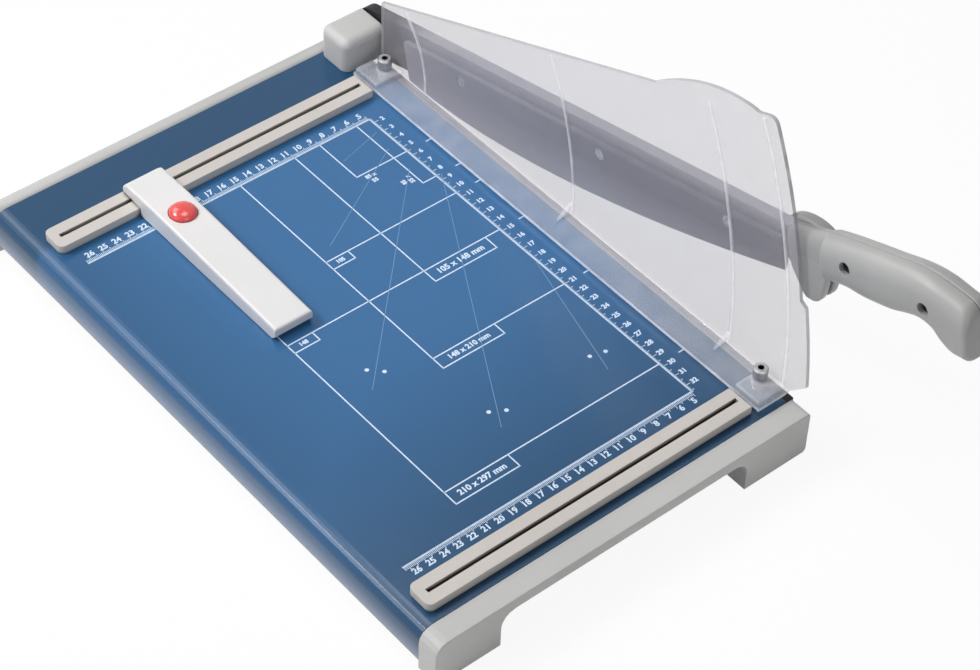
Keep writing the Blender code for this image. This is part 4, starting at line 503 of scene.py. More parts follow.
def edge_wear(owner, radius, high):
    """A value that is high only where the surface turns sharply, broken up by noise."""
    flat = add_node(owner, "NewGeometry", {}).outputs["Normal"]
    soft = rounded_normal(owner, radius)
    turn = add_node(owner, "VectorMath", {0: flat, 1: soft}, "DOT_PRODUCT").outputs["Value"]
    patches = remap(noise(place_node(owner), 90, 4), 0.35, 1.0)
    return math_node("MULTIPLY", remap(turn, high, 0, 0.80, 0.995), patches)


def span_share(owner, axis, share, start, end):
    """A share that grows from 0 along one axis, between places measured from the model's origin."""
    place = add_node(owner, "SeparateXYZ", {"Vector": object_place(owner)}).outputs[axis]
    return remap(math_node("SUBTRACT", place, ORIGIN[axis]), 0, share, start, end)


# Materials

def blue_paint():
    """Satin stove paint on sheet steel: clouds, painted shade towards the ends and the left side, and
    a painted reflection of the floor on the apron's foot.
    """
    material, shader = new_material("cutter_blue_paint", PAINT_BASE, 0.30)
    place = place_node(shader)
    colour = mix_colours(remap(noise(place, 7, 3), 0, 1, 0.1, 0.9), *PAINT_CLOUDS)
    # painted shade: the colour darkens behind the far rail, over the near end and towards the left
    # side
    painted_shade = span_share(shader, *PAINTED_SHADE_SPANS[0])
    for span in PAINTED_SHADE_SPANS[1:]:
        painted_shade = math_node("MAXIMUM", painted_shade, span_share(shader, *span))
    specks = remap(noise(place, 900, 2), 0, 0.12, 0.62, 0.80)
    # coats: painted shade, a painted reflection of the floor on the apron's foot, specks and worn
    # edges
    coats = (
        (painted_shade, PAINT_SHADE), (span_share(shader, *FLOOR_REFLECTION_SPAN), PAINT_FLOOR_REFLECTION),
        (specks, PAINT_SPECKS), (edge_wear(shader, PAINT_EDGE, 0.45), PAINT_WORN),
    )
    for share, coat in coats:
        colour = mix_colours(share, colour, coat)
    rough = remap(noise(place, 40, 4), 0.20, 0.26, 0.1, 0.9)
    fill(shader, {"Base Color": colour, "Roughness": rough, "Specular IOR Level": 0.40})
    bump(shader, noise(place, 650, 2), PAINT_DEPTH, 0.2, PAINT_EDGE)
    return material


def moulded(name, dark, pale, roughness, grain_scale, edge_radius, wear, grain, slot_shade):
    """Moulded plastic: eroded grain, faint flow clouds, slightly polished edges and, where asked,
    painted shade darkening its slots and hollows.
    """
    material, shader = new_material(name, dark, roughness)
    place = place_node(shader)
    colour = drawn(noise(place, 14, 4), dark, pale)
    colour = mix_colours(edge_wear(shader, edge_radius, wear), colour, lighter(pale, 1.25))
    if slot_shade:
        # painted shade: the colour darkens where the ambient occlusion node finds slots and hollows
        hidden = add_node(shader, "AmbientOcclusion", {"Distance": SLOT_SHADE_REACH}).outputs["AO"]
        colour = mix_colours(remap(hidden, slot_shade, 0, 0.35, 0.75), colour, SLOT_SHADE_COLOUR)
    rough = remap(noise(place, 60, 4), roughness - 0.07, roughness + 0.07)
    fill(shader, {"Base Color": colour, "Roughness": rough, "Specular IOR Level": 0.40})
    bump(shader, noise(place, grain_scale, 3), PLASTIC_DEPTH, grain, edge_radius)
    return material


def red_plastic():
    """Gloss red with a faint moulded swirl."""
    material, shader = new_material("button_red", (0.72, 0.050, 0.048), 0.22)
    place = place_node(shader)
    colour = drawn(noise(place, 120, 3), (0.70, 0.046, 0.044), (0.80, 0.066, 0.062))
    fill(shader, {"Base Color": colour, "Roughness": remap(noise(place, 300, 3), 0.18, 0.28)})
    fill(shader, {"Coat Weight": 0.5, "Coat Roughness": 0.12})
    bump(shader, noise(place, 900, 2), METAL_DEPTH, 0.2)
    return material


def clear_plastic(name, alpha, roughness, colour, haze_shares):
    """Clear moulding with a slight haze, fine scuffs and flow marks."""
    material, shader = new_material(name, colour, roughness)
    place = place_node(shader, CLEAR_GRAIN)
    rough = remap(noise(place, 260, 6, 0.7), roughness - 0.04, roughness + 0.08, 0.35, 0.75)
    colour = drawn(noise(place, 24, 3), colour, lighter(colour, 1.06))
    thin, thick = (alpha * share for share in haze_shares)
    haze = remap(noise(place_node(shader), 70, 4, 0.6), thin, thick)
    fill(shader, {"Base Color": colour, "Roughness": rough, "Alpha": haze, "IOR": 1.49})
    bump(shader, noise(place, 45, 2), CLEAR_DEPTH, 0.25)
    return material


def metal(name, dark, pale, roughness, stretch, scratch, metallic):
    """Ground or plated metal: drawn grain, patchy roughness and bright worn edges."""
    material, shader = new_material(name, dark, roughness, metallic)
    grain = noise(place_node(shader, stretch), 120, 6, 0.65)
    worn = edge_wear(shader, METAL_EDGE, 0.5)
    colour = mix_colours(worn, drawn(grain, dark, pale), lighter(pale, 1.6, 0.02))
    rough = remap(grain, roughness - 0.06, roughness + 0.10)
    fill(shader, {"Base Color": colour, "Roughness": rough})
    bump(shader, grain, METAL_DEPTH, scratch, METAL_EDGE)
    return material


def satin_steel(name, highlight_spans, black_hub):
    """Satin steel with a painted highlight along its top, on the blade a paler ground bevel at the
    lower edge that is partly painted highlight, painted shade towards the handle and black at the hub.
    """
    material, shader = new_material(name, (0.25, 0.26, 0.30), 0.5, 0.1)
    grain = noise(place_node(shader), 300, 2)
    colour = drawn(grain, (0.405, 0.405, 0.445), (0.430, 0.430, 0.475))
    where = object_place(shader)
    pivot = ORIGIN + Vector((0, PIVOT_BACK, PIVOT_HEIGHT))
    upright = Vector((0, math.sin(ARM_REST_TILT), math.cos(ARM_REST_TILT)))
    height = add_node(where, "VectorMath", {0: where, 1: upright}, "DOT_PRODUCT").outputs["Value"]
    reach = add_node(where, "VectorMath", {0: where, 1: pivot}, "DISTANCE").outputs["Value"]
    # painted shade: darker with reach from the pivot towards the handle
    colour = mix_colours(remap(reach, 0, 1, *ARM_PAINTED_SHADE_SPAN), colour, (0.064, 0.070, 0.099))
    level = upright.dot(pivot)
    # painted highlight along the top; on the blade also a paler ground bevel along the lower edge,
    # partly painted highlight
    for start, end in highlight_spans:
        pale = remap(height, 0, PAINTED_HIGHLIGHT_SHARE, level + start, level + end)
        colour = mix_colours(pale, colour, (0.62, 0.62, 0.66))
    if black_hub:
        colour = mix_colours(remap(reach, 1, 0, *HUB_BLACK_SPAN), colour, (0.014, 0.014, 0.017))
    rough = remap(grain, 0.50, 0.56)
    fill(shader, {"Base Color": colour, "Roughness": rough, "Specular IOR Level": 0.2})
    bump(shader, grain, FINE_DEPTH, 0.05, SATIN_EDGE)
    return material


def counter_steel():
    """Ground steel of the counter blade, black at its near end for the blade's dark end and painted
    shade of the gap by the end cap.
    """
    material, shader = new_material("counter_blade_steel", (0.30, 0.31, 0.36), 0.45, 0.7)
    grain = noise(place_node(shader, GRAIN_ALONG), 120, 4)
    colour = drawn(grain, (0.28, 0.29, 0.34), (0.32, 0.33, 0.38))
    # black near end: the blade's dark end and painted shade of the gap by the end cap
    colour = mix_colours(span_share(shader, *COUNTER_END_BLACK_AND_SHADE_SPAN), colour, (0.012, 0.012, 0.015))
    fill(shader, {"Base Color": colour, "Roughness": remap(grain, 0.42, 0.50)})
    bump(shader, grain, FINE_DEPTH, 0.1, METAL_EDGE)
    return material


def rubber():
    material, shader = new_material("foot_rubber", (0.018, 0.018, 0.018), 0.85)
    grain = noise(place_node(shader), 1800, 3)
    fill(shader, {"Base Color": drawn(grain, (0.014, 0.014, 0.014), (0.030, 0.030, 0.029))})
    bump(shader, grain, RUBBER_DEPTH, 0.5, RUBBER_EDGE)
    return material


def print_ink(name, dark, pale):
    """Screen-printed ink: a little uneven in cover, with a matte surface."""
    material, shader = new_material(name, pale, 0.5)
    place = place_node(shader)
    cover = remap(noise(place, 700, 3), 0, 1, 0.25, 0.55)
    fill(shader, {"Base Color": mix_colours(cover, dark, pale)})
    bump(shader, noise(place, 1500, 2), FINE_DEPTH, 0.3)
    return material


MATERIALS = {"blue_paint": blue_paint(), "red_plastic": red_plastic(), "rubber": rubber()}
MATERIALS |= {slot: moulded(*look) for slot, look in MOULDED_LOOKS.items()}
MATERIALS |= {slot: metal(*look) for slot, look in METAL_LOOKS.items()}
POST_ZINC = metal(*POST_LOOK)
GUARD_MATERIALS = [clear_plastic(*look) for look in GUARD_LOOKS]
LINE_INK = print_ink("format_ink", (0.46, 0.60, 0.78), (0.66, 0.78, 0.92))
FAINT_INK = print_ink("faint_ink", (0.085, 0.19, 0.36), (0.13, 0.25, 0.43))
NODE_MATERIALS = {
    "counter_blade": counter_steel(),
    "knife_arm": satin_steel("satin_arm_steel", (ARM_TOP_HIGHLIGHT_SPAN,), True),
    "knife_blade": satin_steel("satin_blade_steel", (ARM_TOP_HIGHLIGHT_SPAN, BLADE_BEVEL_AND_HIGHLIGHT_SPAN), False),
}


# Mesh helpers

def add_object(name, data):
    piece = bpy.data.objects.new(name, data)
    bpy.context.scene.collection.objects.link(piece)
    return piece


def mesh_object(name, bm):
    mesh = bpy.data.meshes.new(name)
    bm.to_mesh(mesh)
    bm.free()
    return add_object(name, mesh)


def add_ring_solid(bm, rings):
    """Adds a closed solid through rings that have the same number of points."""
    loops = [[bm.verts.new(point) for point in ring] for ring in rings]
    count = len(loops[0])
    for loop, following in zip(loops, loops[1:]):
        for i in range(count):
            j = (i + 1) % count
            bm.faces.new((loop[i], loop[j], following[j], following[i]))
    bm.faces.new(loops[0])
    bm.faces.new(list(reversed(loops[-1])))


def lofted(name, rings):
    bm = bmesh.new()
    add_ring_solid(bm, rings)
    bmesh.ops.recalc_face_normals(bm, faces=bm.faces)
    return mesh_object(name, bm)


def plate(name, outline, first, second, along):
    """A flat plate from (reach, height) points between two places on an axis, 0 for X and 1 for Y."""
    rings = []
    for place in (first, second):
        if along == 0:
            rings.append([(place, -reach, height) for reach, height in outline])
        else:
            rings.append([(across, place, height) for across, height in outline])
    return lofted(name, rings)


def box(name, low, high):
    bm = bmesh.new()
    bmesh.ops.create_cube(bm, size=1)
    bmesh.ops.scale(bm, vec=Vector(high) - Vector(low), verts=bm.verts)
    bmesh.ops.translate(bm, vec=(Vector(low) + Vector(high)) / 2, verts=bm.verts)
    return mesh_object(name, bm)


def oval(centre, half_width, half_height, sides):
    points = []
    for i in range(sides):
        angle = 2 * math.pi * i / sides
        across, up = half_width * math.cos(angle), half_height * math.sin(angle)
        points.append((centre[0] + across, centre[1] + up))
    return points


def turned(name, profile, place, sides):
    """A profile of (radius, height) points from top to bottom, turned round a vertical axis."""
    bm = bmesh.new()
    rings = []
    for radius, height in profile:
        spots = oval((0, 0), radius, radius, sides if radius else 1)
        rings.append([bm.verts.new(Vector(place) + Vector((x, y, height))) for x, y in spots])
    for upper, lower in zip(rings, rings[1:]):
        for i in range(sides):
            places = ((upper, i), (lower, i), (lower, i + 1), (upper, i + 1))
            corners = [ring[place % len(ring)] for ring, place in places]
            bm.faces.new(list(dict.fromkeys(corners)))
    bmesh.ops.recalc_face_normals(bm, faces=bm.faces)
    return mesh_object(name, bm)


def soften(piece, width, segments):
    bevel = piece.modifiers.new("round", "BEVEL")
    bevel.width = width
    bevel.segments = segments
    bevel.limit_method = "ANGLE"
    bevel.angle_limit = SHARP_ANGLE
    return piece


def evaluated_mesh(piece):
    evaluated = piece.evaluated_get(bpy.context.evaluated_depsgraph_get())
    return bpy.data.meshes.new_from_object(evaluated)


def settle(piece):
    """Replaces a piece's mesh by its evaluated one, so that no modifier is left."""
    mesh = evaluated_mesh(piece)
    piece.modifiers.clear()
    piece.data = mesh
    mesh.name = piece.name
    return piece


def carve(piece, tool, operation="DIFFERENCE"):
    """Applies one Boolean at once and removes its tool."""
    boolean = piece.modifiers.new("carve", "BOOLEAN")
    boolean.operation = operation
    boolean.solver = "EXACT"
    boolean.object = tool
    bpy.context.view_layer.update()
    settle(piece)
    bpy.data.objects.remove(tool)


def drill(piece, start, direction, length, radius):
    """Bores a round hole into a piece, from a start in a direction."""
    bm = bmesh.new()
    bmesh.ops.create_cone(
        bm, cap_ends=True, segments=HOLE_SIDES, radius1=radius, radius2=radius, depth=length
    )
    turn = Vector((0, 0, 1)).rotation_difference(Vector(direction))
    bmesh.ops.rotate(bm, matrix=turn.to_matrix(), verts=bm.verts)
    middle = Vector(start) + Vector(direction).normalized() * (length / 2)
    bmesh.ops.translate(bm, vec=middle, verts=bm.verts)
    carve(piece, mesh_object("hole", bm))


def tidy_mesh(piece):
    """Welds what a Boolean leaves and dissolves the flat leftovers."""
    bm = bmesh.new()
    bm.from_mesh(piece.data)
    bmesh.ops.remove_doubles(bm, verts=bm.verts, dist=CARVE_WELD)
    bmesh.ops.dissolve_degenerate(bm, dist=CARVE_WELD, edges=bm.edges)
    bmesh.ops.recalc_face_normals(bm, faces=bm.faces)
    bm.to_mesh(piece.data)
    bm.free()


def node_copy(node_name, name):
    """A piece of its own with the mesh of a frame node."""
    return add_object(name, frame["nodes"][node_name].data.copy())


def shade(piece, *materials):
    piece.data.materials.clear()
    for material in materials:
        piece.data.materials.append(material)
    piece.data.shade_smooth()
    piece.data.set_sharp_from_angle(angle=SHARP_ANGLE)


def hand_over(piece, body, node_name):
    """Puts a piece on its body, in place of a node of the frame."""
    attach(piece, body)
    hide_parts(node_name)


def arc(centre, radius, start, end, steps):
    points = []
    for i in range(steps + 1):
        angle = start + (end - start) * i / steps
        points.append((centre[0] + radius * math.cos(angle), centre[1] + radius * math.sin(angle)))
    return points


def smooth_outline(points, steps):
    """A Catmull-Rom curve through an open run of points."""
    smooth = []
    last = len(points) - 1
    for i in range(last):
        p0, p1 = points[max(i - 1, 0)], points[i]
        p2, p3 = points[i + 1], points[min(i + 2, last)]
        for step in range(steps):
            t = step / steps
            spot = []
            for a, b, c, d in zip(p0, p1, p2, p3):
                spot.append(0.5 * (2 * b + (c - a) * t + (2 * a - 5 * b + 4 * c - d) * t ** 2
                                   + (3 * b - a - 3 * c + d) * t ** 3))
            smooth.append(tuple(spot))
    smooth.append(points[-1])
    return smooth


# Handle shells

def blended(rows, share):
    """A smooth curve through the rows at a station share, by the Catmull-Rom rule."""
    last = len(rows) - 1
    index = max(i for i in range(last) if rows[i][0] <= max(share, rows[0][0]))
    p0 = rows[max(index - 1, 0)]
    p1, p2 = rows[index], rows[index + 1]
    p3 = rows[min(index + 2, last)]
    t = (share - p1[0]) / (p2[0] - p1[0])
    values = []
    for a, b, c, d in zip(p0[1:], p1[1:], p2[1:], p3[1:]):
        slope = (c - a) / 2
        slope_next = (d - b) / 2
        lift = b * (2 * t ** 3 - 3 * t ** 2 + 1) + c * (3 * t ** 2 - 2 * t ** 3)
        values.append(lift + slope * (t ** 3 - 2 * t ** 2 + t) + slope_next * (t ** 3 - t ** 2))
    return values


def ramp(share, span):
    """A smooth step from 0 to 1 between the two shares of a span."""
    t = min(1, max(0, (share - span[0]) / (span[1] - span[0])))
    return t * t * (3 - 2 * t)


def end_inset(distance, radius):
    """How far a rounded end edge has drawn in at a distance from the end."""
    inside = max(0, radius - distance)
    return radius - math.sqrt(radius ** 2 - inside ** 2)


def handle_row(share):
    """Station, underside, top and half width of the handle at a share of its length."""
    low, high, half = blended(HANDLE_SECTION_SHARES, share)
    half = HANDLE_ROOT_SHARE + (half - HANDLE_ROOT_SHARE) * ramp(share, HANDLE_SHOULDER_SHARES)
    left_over = HANDLE_LENGTH * (HANDLE_SECTION_SHARES[-1][0] - share)
    low_inset, high_inset, side_inset = (end_inset(left_over, r) for r in HANDLE_END_ROUNDS)
    low = low * HANDLE_HEIGHT + low_inset
    high = high * HANDLE_HEIGHT - high_inset
    return handle_start + HANDLE_LENGTH * share, low, high, half * HANDLE_HALF_WIDTH - side_inset


def handle_shares():
    """Even stations, with finer ones over the shoulder and towards the rounded end."""
    last = HANDLE_SECTION_SHARES[-1][0]
    first, second = HANDLE_SHOULDER_SHARES
    body = last - max(HANDLE_END_ROUNDS) / HANDLE_LENGTH
    shares = [body * i / HANDLE_STATIONS for i in range(HANDLE_STATIONS + 1)]
    shares = [share for share in shares if share < first or share > second]
    for i in range(HANDLE_SHOULDER_STEPS + 1):
        shares.append(first + (second - first) * i / HANDLE_SHOULDER_STEPS)
    for i in range(1, HANDLE_END_STEPS + 1):
        shares.append(body + (last - body) * math.sin(math.radians(90) * i / HANDLE_END_STEPS))
    return sorted(shares)


def handle_ring(share, side):
    """Half of a full, rounded section; side is -1 for the left shell and 1 for the right."""
    station, low, high, half = handle_row(share)
    middle, rise = (low + high) / 2, (high - low) / 2
    tail = ramp(share, HANDLE_TAIL_SHARES)
    fuller = HANDLE_FULLNESS + (HANDLE_TAIL_FULLNESS - HANDLE_FULLNESS) * tail
    inner = arm_middle + side * SEAT_GAP / 2
    chamfer = min(HANDLE_SPLIT_CHAMFER, rise / 4)
    ring = [(inner, -station, low + chamfer)]
    for i in range(HANDLE_RING):
        angle = math.pi * (i / (HANDLE_RING - 1) - 0.5)
        fullness = fuller if angle < 0 else HANDLE_FULLNESS
        across = abs(math.cos(angle)) ** (2 / fullness)
        up = math.copysign(abs(math.sin(angle)) ** (2 / fullness), angle)
        width = max(across * half, chamfer)
        ring.append((arm_middle + side * width, -station, middle + up * rise))
    ring.append((inner, -station, high - chamfer))
    return ring


def drill_screw_seats(shell):
    """Bores a shell from inside for the two screws and their sunk heads."""
    for station_share, height_share in HANDLE_SCREW_SHARES:
        reach = handle_start + HANDLE_LENGTH * station_share
        height = HANDLE_HEIGHT * height_share
        start = (arm_middle, -reach, height)
        length = HANDLE_SCREW_SEAT + CUT_OVERRUN
        drill(shell, start, LEFTWARDS, length, HANDLE_SCREW_RADIUS + SEAT_GAP)
        seat = (arm_middle - HANDLE_SCREW_SEAT, -reach, height)
        head = HANDLE_SCREW_HEAD_RADIUS + SEAT_GAP
        drill(shell, seat, LEFTWARDS, HANDLE_HALF_WIDTH + CUT_OVERRUN, head)


def tongue_pocket():
    """The room for the arm's tongue inside the two shells."""
    upper, lower = [], []
    room = TONGUE_HALF_HEIGHT + SEAT_GAP
    for i in range(TONGUE_STEPS + 1):
        station, low, high, _ = handle_row(TONGUE_LENGTH_SHARE * i / TONGUE_STEPS)
        middle = (low + high) / 2
        upper.append((station, middle + room))
        lower.append((station, middle - room))
    front = handle_start - THUMB_REST_HALF_LENGTH
    end = lower[-1][0] + SEAT_GAP
    lower[-1] = (end, lower[-1][1])
    upper[-1] = (end, upper[-1][1])
    wide = HANDLE_HEIGHT
    start_low, start_high = lower[0][1] - SEAT_GAP * 2, upper[0][1] + SEAT_GAP * 2
    outline = [(front, -wide), (handle_start - SEAT_GAP, -wide), (handle_start, start_low)] + lower[1:]
    outline += list(reversed(upper))[:-1] + [(handle_start, start_high)]
    outline += [(handle_start - SEAT_GAP, wide), (front, wide)]
    right = ARM_LEFT + ARM_THICKNESS + SEAT_GAP
    return plate("pocket", outline, ARM_LEFT - SEAT_GAP, right, 0)


def thumb_rest():
    """An oval plate with rounded rims beside the handle's root."""
    station = handle_start + HANDLE_LENGTH * THUMB_REST_STATION_SHARE
    level = HANDLE_HEIGHT * THUMB_REST_HEIGHT_SHARE
    size = (THUMB_REST_HALF_LENGTH, THUMB_REST_HALF_HEIGHT)
    outline = oval((station, level), *size, THUMB_REST_SIDES)
    start = arm_middle + THUMB_REST_INNER
    rest = plate("thumb", outline, start, start + THUMB_REST_THICKNESS, 0)
    return soften(rest, THUMB_REST_THICKNESS / 4, THUMB_REST_ROUND_STEPS)


def handle_half(node_name, side):
    """One shell of the handle, with its lug, and on the right one the thumb rest."""
    shell = lofted(node_name + "_shell", [handle_ring(share, side) for share in handle_shares()])
    points = [(handle_start + LUG_LENGTH * a, LUG_DROP * b) for a, b in LUG_OUTLINE_SHARES]
    outline = points[:1] + smooth_outline(points[1:-1], LUG_STEPS) + points[-1:]
    lug_half = HANDLE_HALF_WIDTH * HANDLE_ROOT_SHARE
    inner = arm_middle + side * LUG_SLOT / 2
    lug = plate("lug", outline, inner, arm_middle + side * lug_half, 0)
    carve(shell, settle(soften(lug, LUG_SLOT / 2, LUG_ROUND_STEPS)), "UNION")
    if side > 0:
        carve(shell, settle(thumb_rest()), "UNION")
    carve(shell, tongue_pocket())
    if side < 0:
        drill_screw_seats(shell)
    tidy_mesh(shell)
    shell.data.transform(arm_to_row)
    shade(shell, MATERIALS["handle_grey"])
    hand_over(shell, "arm", node_name)


# Far end cap

def far_cap():
    """The far end cap with its top rolled off towards the back."""
    low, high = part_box("end_cap_far")
    cap = node_copy("end_cap_far", "far_cap_rolled")
    radius = FAR_CAP_ROLL
    clear = CUT_OVERRUN
    outline = [(high.y + clear, high.z + clear), (high.y - radius, high.z + clear)]
    roll = arc((high.y - radius, high.z - radius), radius, math.radians(90), 0, FAR_CAP_ROLL_STEPS)
    outline += roll + [(high.y + clear, high.z - radius)]
    rings = [[(x, y, z) for y, z in outline] for x in (low.x - clear, high.x + clear)]
    carve(cap, lofted("roll", rings))
    tidy_mesh(cap)
    shade(cap, MATERIALS["grey_plastic"])
    hand_over(cap, "base", "end_cap_far")


# Clear guard

def guard_top(reach_from_pivot):
    return PIVOT_HEIGHT + GUARD_TOP_AT_PIVOT + reach_from_pivot * math.tan(GUARD_TOP_SLOPE)


def guard_corner_angle(radius):
    """The angle, seen from the pivot, at which the sloping top meets a circle round the pivot."""
    slope = GUARD_TOP_SLOPE
    return slope + math.asin(GUARD_TOP_AT_PIVOT * math.cos(slope) / radius)


def guard_hump():
    """Points of the low hump, from its near end to its far end."""
    points = []
    first, last = (share * guard_edge_radius for share in GUARD_HUMP_SHARES)
    for i in range(GUARD_HUMP_STEPS + 1):
        share = i / GUARD_HUMP_STEPS
        reach = last + (first - last) * share
        lift = GUARD_HUMP_HEIGHT * math.sin(math.pi * share) ** GUARD_HUMP_FULLNESS
        points.append((reach - PIVOT_BACK, guard_top(reach) + lift))
    return points


def guard_near_edge(top_angle):
    """Up the flared foot, then a circle round the pivot, stepped in at the lip."""
    radius = guard_edge_radius
    foot_angle = math.asin((GUARD_EDGE_FOOT - PIVOT_HEIGHT) / radius)
    lip_angle = math.asin((GUARD_LIP_HEIGHT - PIVOT_HEIGHT) / radius)
    points = []
    for i in range(GUARD_LIP_STEPS + 1):
        share = i / GUARD_LIP_STEPS
        angle = foot_angle + (lip_angle - foot_angle) * share
        reach = radius + GUARD_FOOT_FLARE + (GUARD_LIP_FLARE - GUARD_FOOT_FLARE) * share
        points.append((reach * math.cos(angle) - PIVOT_BACK, reach * math.sin(angle) + PIVOT_HEIGHT))
    start = lip_angle + GUARD_LIP_RISE / radius
    return points + arc((-PIVOT_BACK, PIVOT_HEIGHT), radius, start, top_angle, GUARD_EDGE_STEPS)


def guard_outline():
    """Side view: flange below, sloping top with a low hump, near edge round the pivot."""
    radius = guard_edge_radius
    top_angle = guard_corner_angle(radius)
    near_edge = guard_near_edge(top_angle - GUARD_CORNER_ROUND / radius)
    corner_reach = radius * math.cos(top_angle) - GUARD_CORNER_ROUND
    corner = [near_edge[-1]]
    end = (corner_reach - PIVOT_BACK, guard_top(corner_reach))
    apex = (radius * math.cos(top_angle) - PIVOT_BACK, guard_top(radius * math.cos(top_angle)))
    for i in range(1, GUARD_CORNER_STEPS):
        t = i / GUARD_CORNER_STEPS
        spot = [(1 - t) ** 2 * a + 2 * t * (1 - t) * b + t ** 2 * c
                for a, b, c in zip(near_edge[-1], apex, end)]
        corner.append(tuple(spot))
    top = corner[1:] + [end] + guard_hump()
    top.append((-guard_far, guard_top(PIVOT_BACK - guard_far)))
    below = GUARD_LIFT - CUT_OVERRUN
    flange = [(-guard_far, below), (-guard_near, below), (-guard_near, GUARD_LIFT + GUARD_SHEET)]
    return flange + near_edge + top


def guard_profile():
    """Front view of the bent sheet: the flange, the bend and the wall, as one closed outline."""
    inner = GUARD_BEND - GUARD_SHEET
    centre = (guard_right - GUARD_BEND, GUARD_LIFT + GUARD_BEND)
    height = guard_top(guard_edge_radius) + GUARD_HUMP_HEIGHT
    outer_bend = arc(centre, GUARD_BEND, math.radians(270), math.radians(360), GUARD_BEND_STEPS)
    inner_bend = arc(centre, inner, math.radians(360), math.radians(270), GUARD_BEND_STEPS)
    outline = [(guard_left, GUARD_LIFT)] + outer_bend
    outline += [(guard_right, height), (wall_left, height)]
    outline += inner_bend + [(guard_left, GUARD_LIFT + GUARD_SHEET)]
    return outline


def rib_outline(radius):
    """An arc round the pivot, from the flange up to just under the sloping top."""
    centre = (-PIVOT_BACK, PIVOT_HEIGHT)
    low = math.asin((GUARD_LIFT + GUARD_BEND - PIVOT_HEIGHT) / radius)
    high = guard_corner_angle(radius) - GUARD_RIB_WIDTH / radius
    inner = arc(centre, radius, low, high, GUARD_RIB_STEPS)
    outer = arc(centre, radius + GUARD_RIB_WIDTH, low, high, GUARD_RIB_STEPS)
    return inner + list(reversed(outer))


def add_guard_ribs(guard):
    radii = [guard_edge_radius * share for share in GUARD_RIB_SHARES]
    for radius in radii + [guard_edge_radius - GUARD_RIM_INSET]:
        low, high = wall_left - GUARD_RIB_HEIGHT, wall_left + GUARD_SHEET / 2
        carve(guard, plate("rib", rib_outline(radius), low, high, 0), "UNION")
    floor = GUARD_LIFT + GUARD_SHEET / 2
    right = guard_right - GUARD_SHEET / 2
    for radius in radii[1:]:
        reach = radius * math.cos(math.asin((PIVOT_HEIGHT - floor) / radius)) - PIVOT_BACK
        corners = (
            (wall_left - GUARD_BEND - GUSSET_SIZE, floor), (right, floor),
            (right, floor + GUARD_BEND + GUSSET_SIZE),
            (wall_left - SEAT_GAP, floor + GUARD_BEND + GUSSET_SIZE),
            (wall_left - GUARD_BEND - GUSSET_SIZE, floor + GUARD_SHEET),
        )
        half = GUSSET_THICKNESS / 2
        carve(guard, plate("gusset", corners, -reach - half, -reach + half, 1), "UNION")


def add_guard_pads(guard):
    """The thick ends of the flange, bored for the posts and sunk below for the springs."""
    lip = GUARD_PAD_LIP
    spans = ((guard_far - lip, lip), (-CUT_LENGTH - lip, guard_near + lip))
    for (far, near), post_y in zip(spans, post_places):
        low = (guard_left + lip, near, GUARD_LIFT + GUARD_SHEET / 4)
        pad = box("pad", low, (guard_right - GUARD_SHEET / 2, far, pad_top))
        soften(pad, GUARD_PAD_ROUND, GUARD_PAD_ROUND_STEPS)
        carve(guard, settle(pad), "UNION")
        start = (-POST_INSET, post_y, pad_top + CUT_OVERRUN)
        length = GUARD_PAD_HEIGHT + CUT_OVERRUN * 2
        drill(guard, start, DOWNWARDS, length, POST_RADIUS + RUN_GAP)
        start = (-POST_INSET, post_y, GUARD_LIFT + PAD_WELL_DEPTH)
        drill(guard, start, DOWNWARDS, PAD_WELL_DEPTH + CUT_OVERRUN, PAD_WELL_RADIUS)


def guard_face(middle, normal):
    """The number of the material that a face has, by its middle and its direction."""
    in_flange = middle.z < GUARD_LIFT + GUARD_SHEET
    left_edge = middle.x < guard_left + GUARD_SHEET / 4 and abs(normal.x) > FACING_SHARE
    near_edge = middle.y < guard_near + GUARD_SHEET / 4 and abs(normal.y) > FACING_SHARE
    # flange edge faces and rib faces get a painted highlight, rim faces painted shade
    if in_flange and (left_edge or near_edge):
        return GUARD_EDGE_HIGHLIGHT
    if middle.x < wall_left - GUARD_RIB_HEIGHT * 2:
        over_paper = guard_near_paper < middle.y < 0
        return GUARD_FLANGE if in_flange or over_paper else GUARD_PAD
    if middle.z < GUARD_LIFT + GUARD_BEND:
        return GUARD_WALL
    if middle.x < wall_left - GUARD_RIB_HEIGHT / 3:
        return GUARD_RIB_HIGHLIGHT
    if abs(normal.y) > FACING_SHARE or abs(normal.z) > FACING_SHARE:
        return GUARD_RIM_SHADE
    return GUARD_WALL


def clear_guard():
    guard = plate("guard_moulding", guard_profile(), guard_far + CUT_OVERRUN, -guard_edge_radius, 1)
    trim = plate("trim", guard_outline(), -GUARD_WIDTH - CUT_OVERRUN, CUT_OVERRUN, 0)
    carve(guard, trim, "INTERSECT")
    add_guard_ribs(guard)
    add_guard_pads(guard)
    tidy_mesh(guard)
    shade(guard, *GUARD_MATERIALS)
    for face in guard.data.polygons:
        face.material_index = guard_face(face.center, face.normal)
    guard.data.transform(model_to_row)
    hand_over(guard, "guard", "safety_guard")


# Guard posts

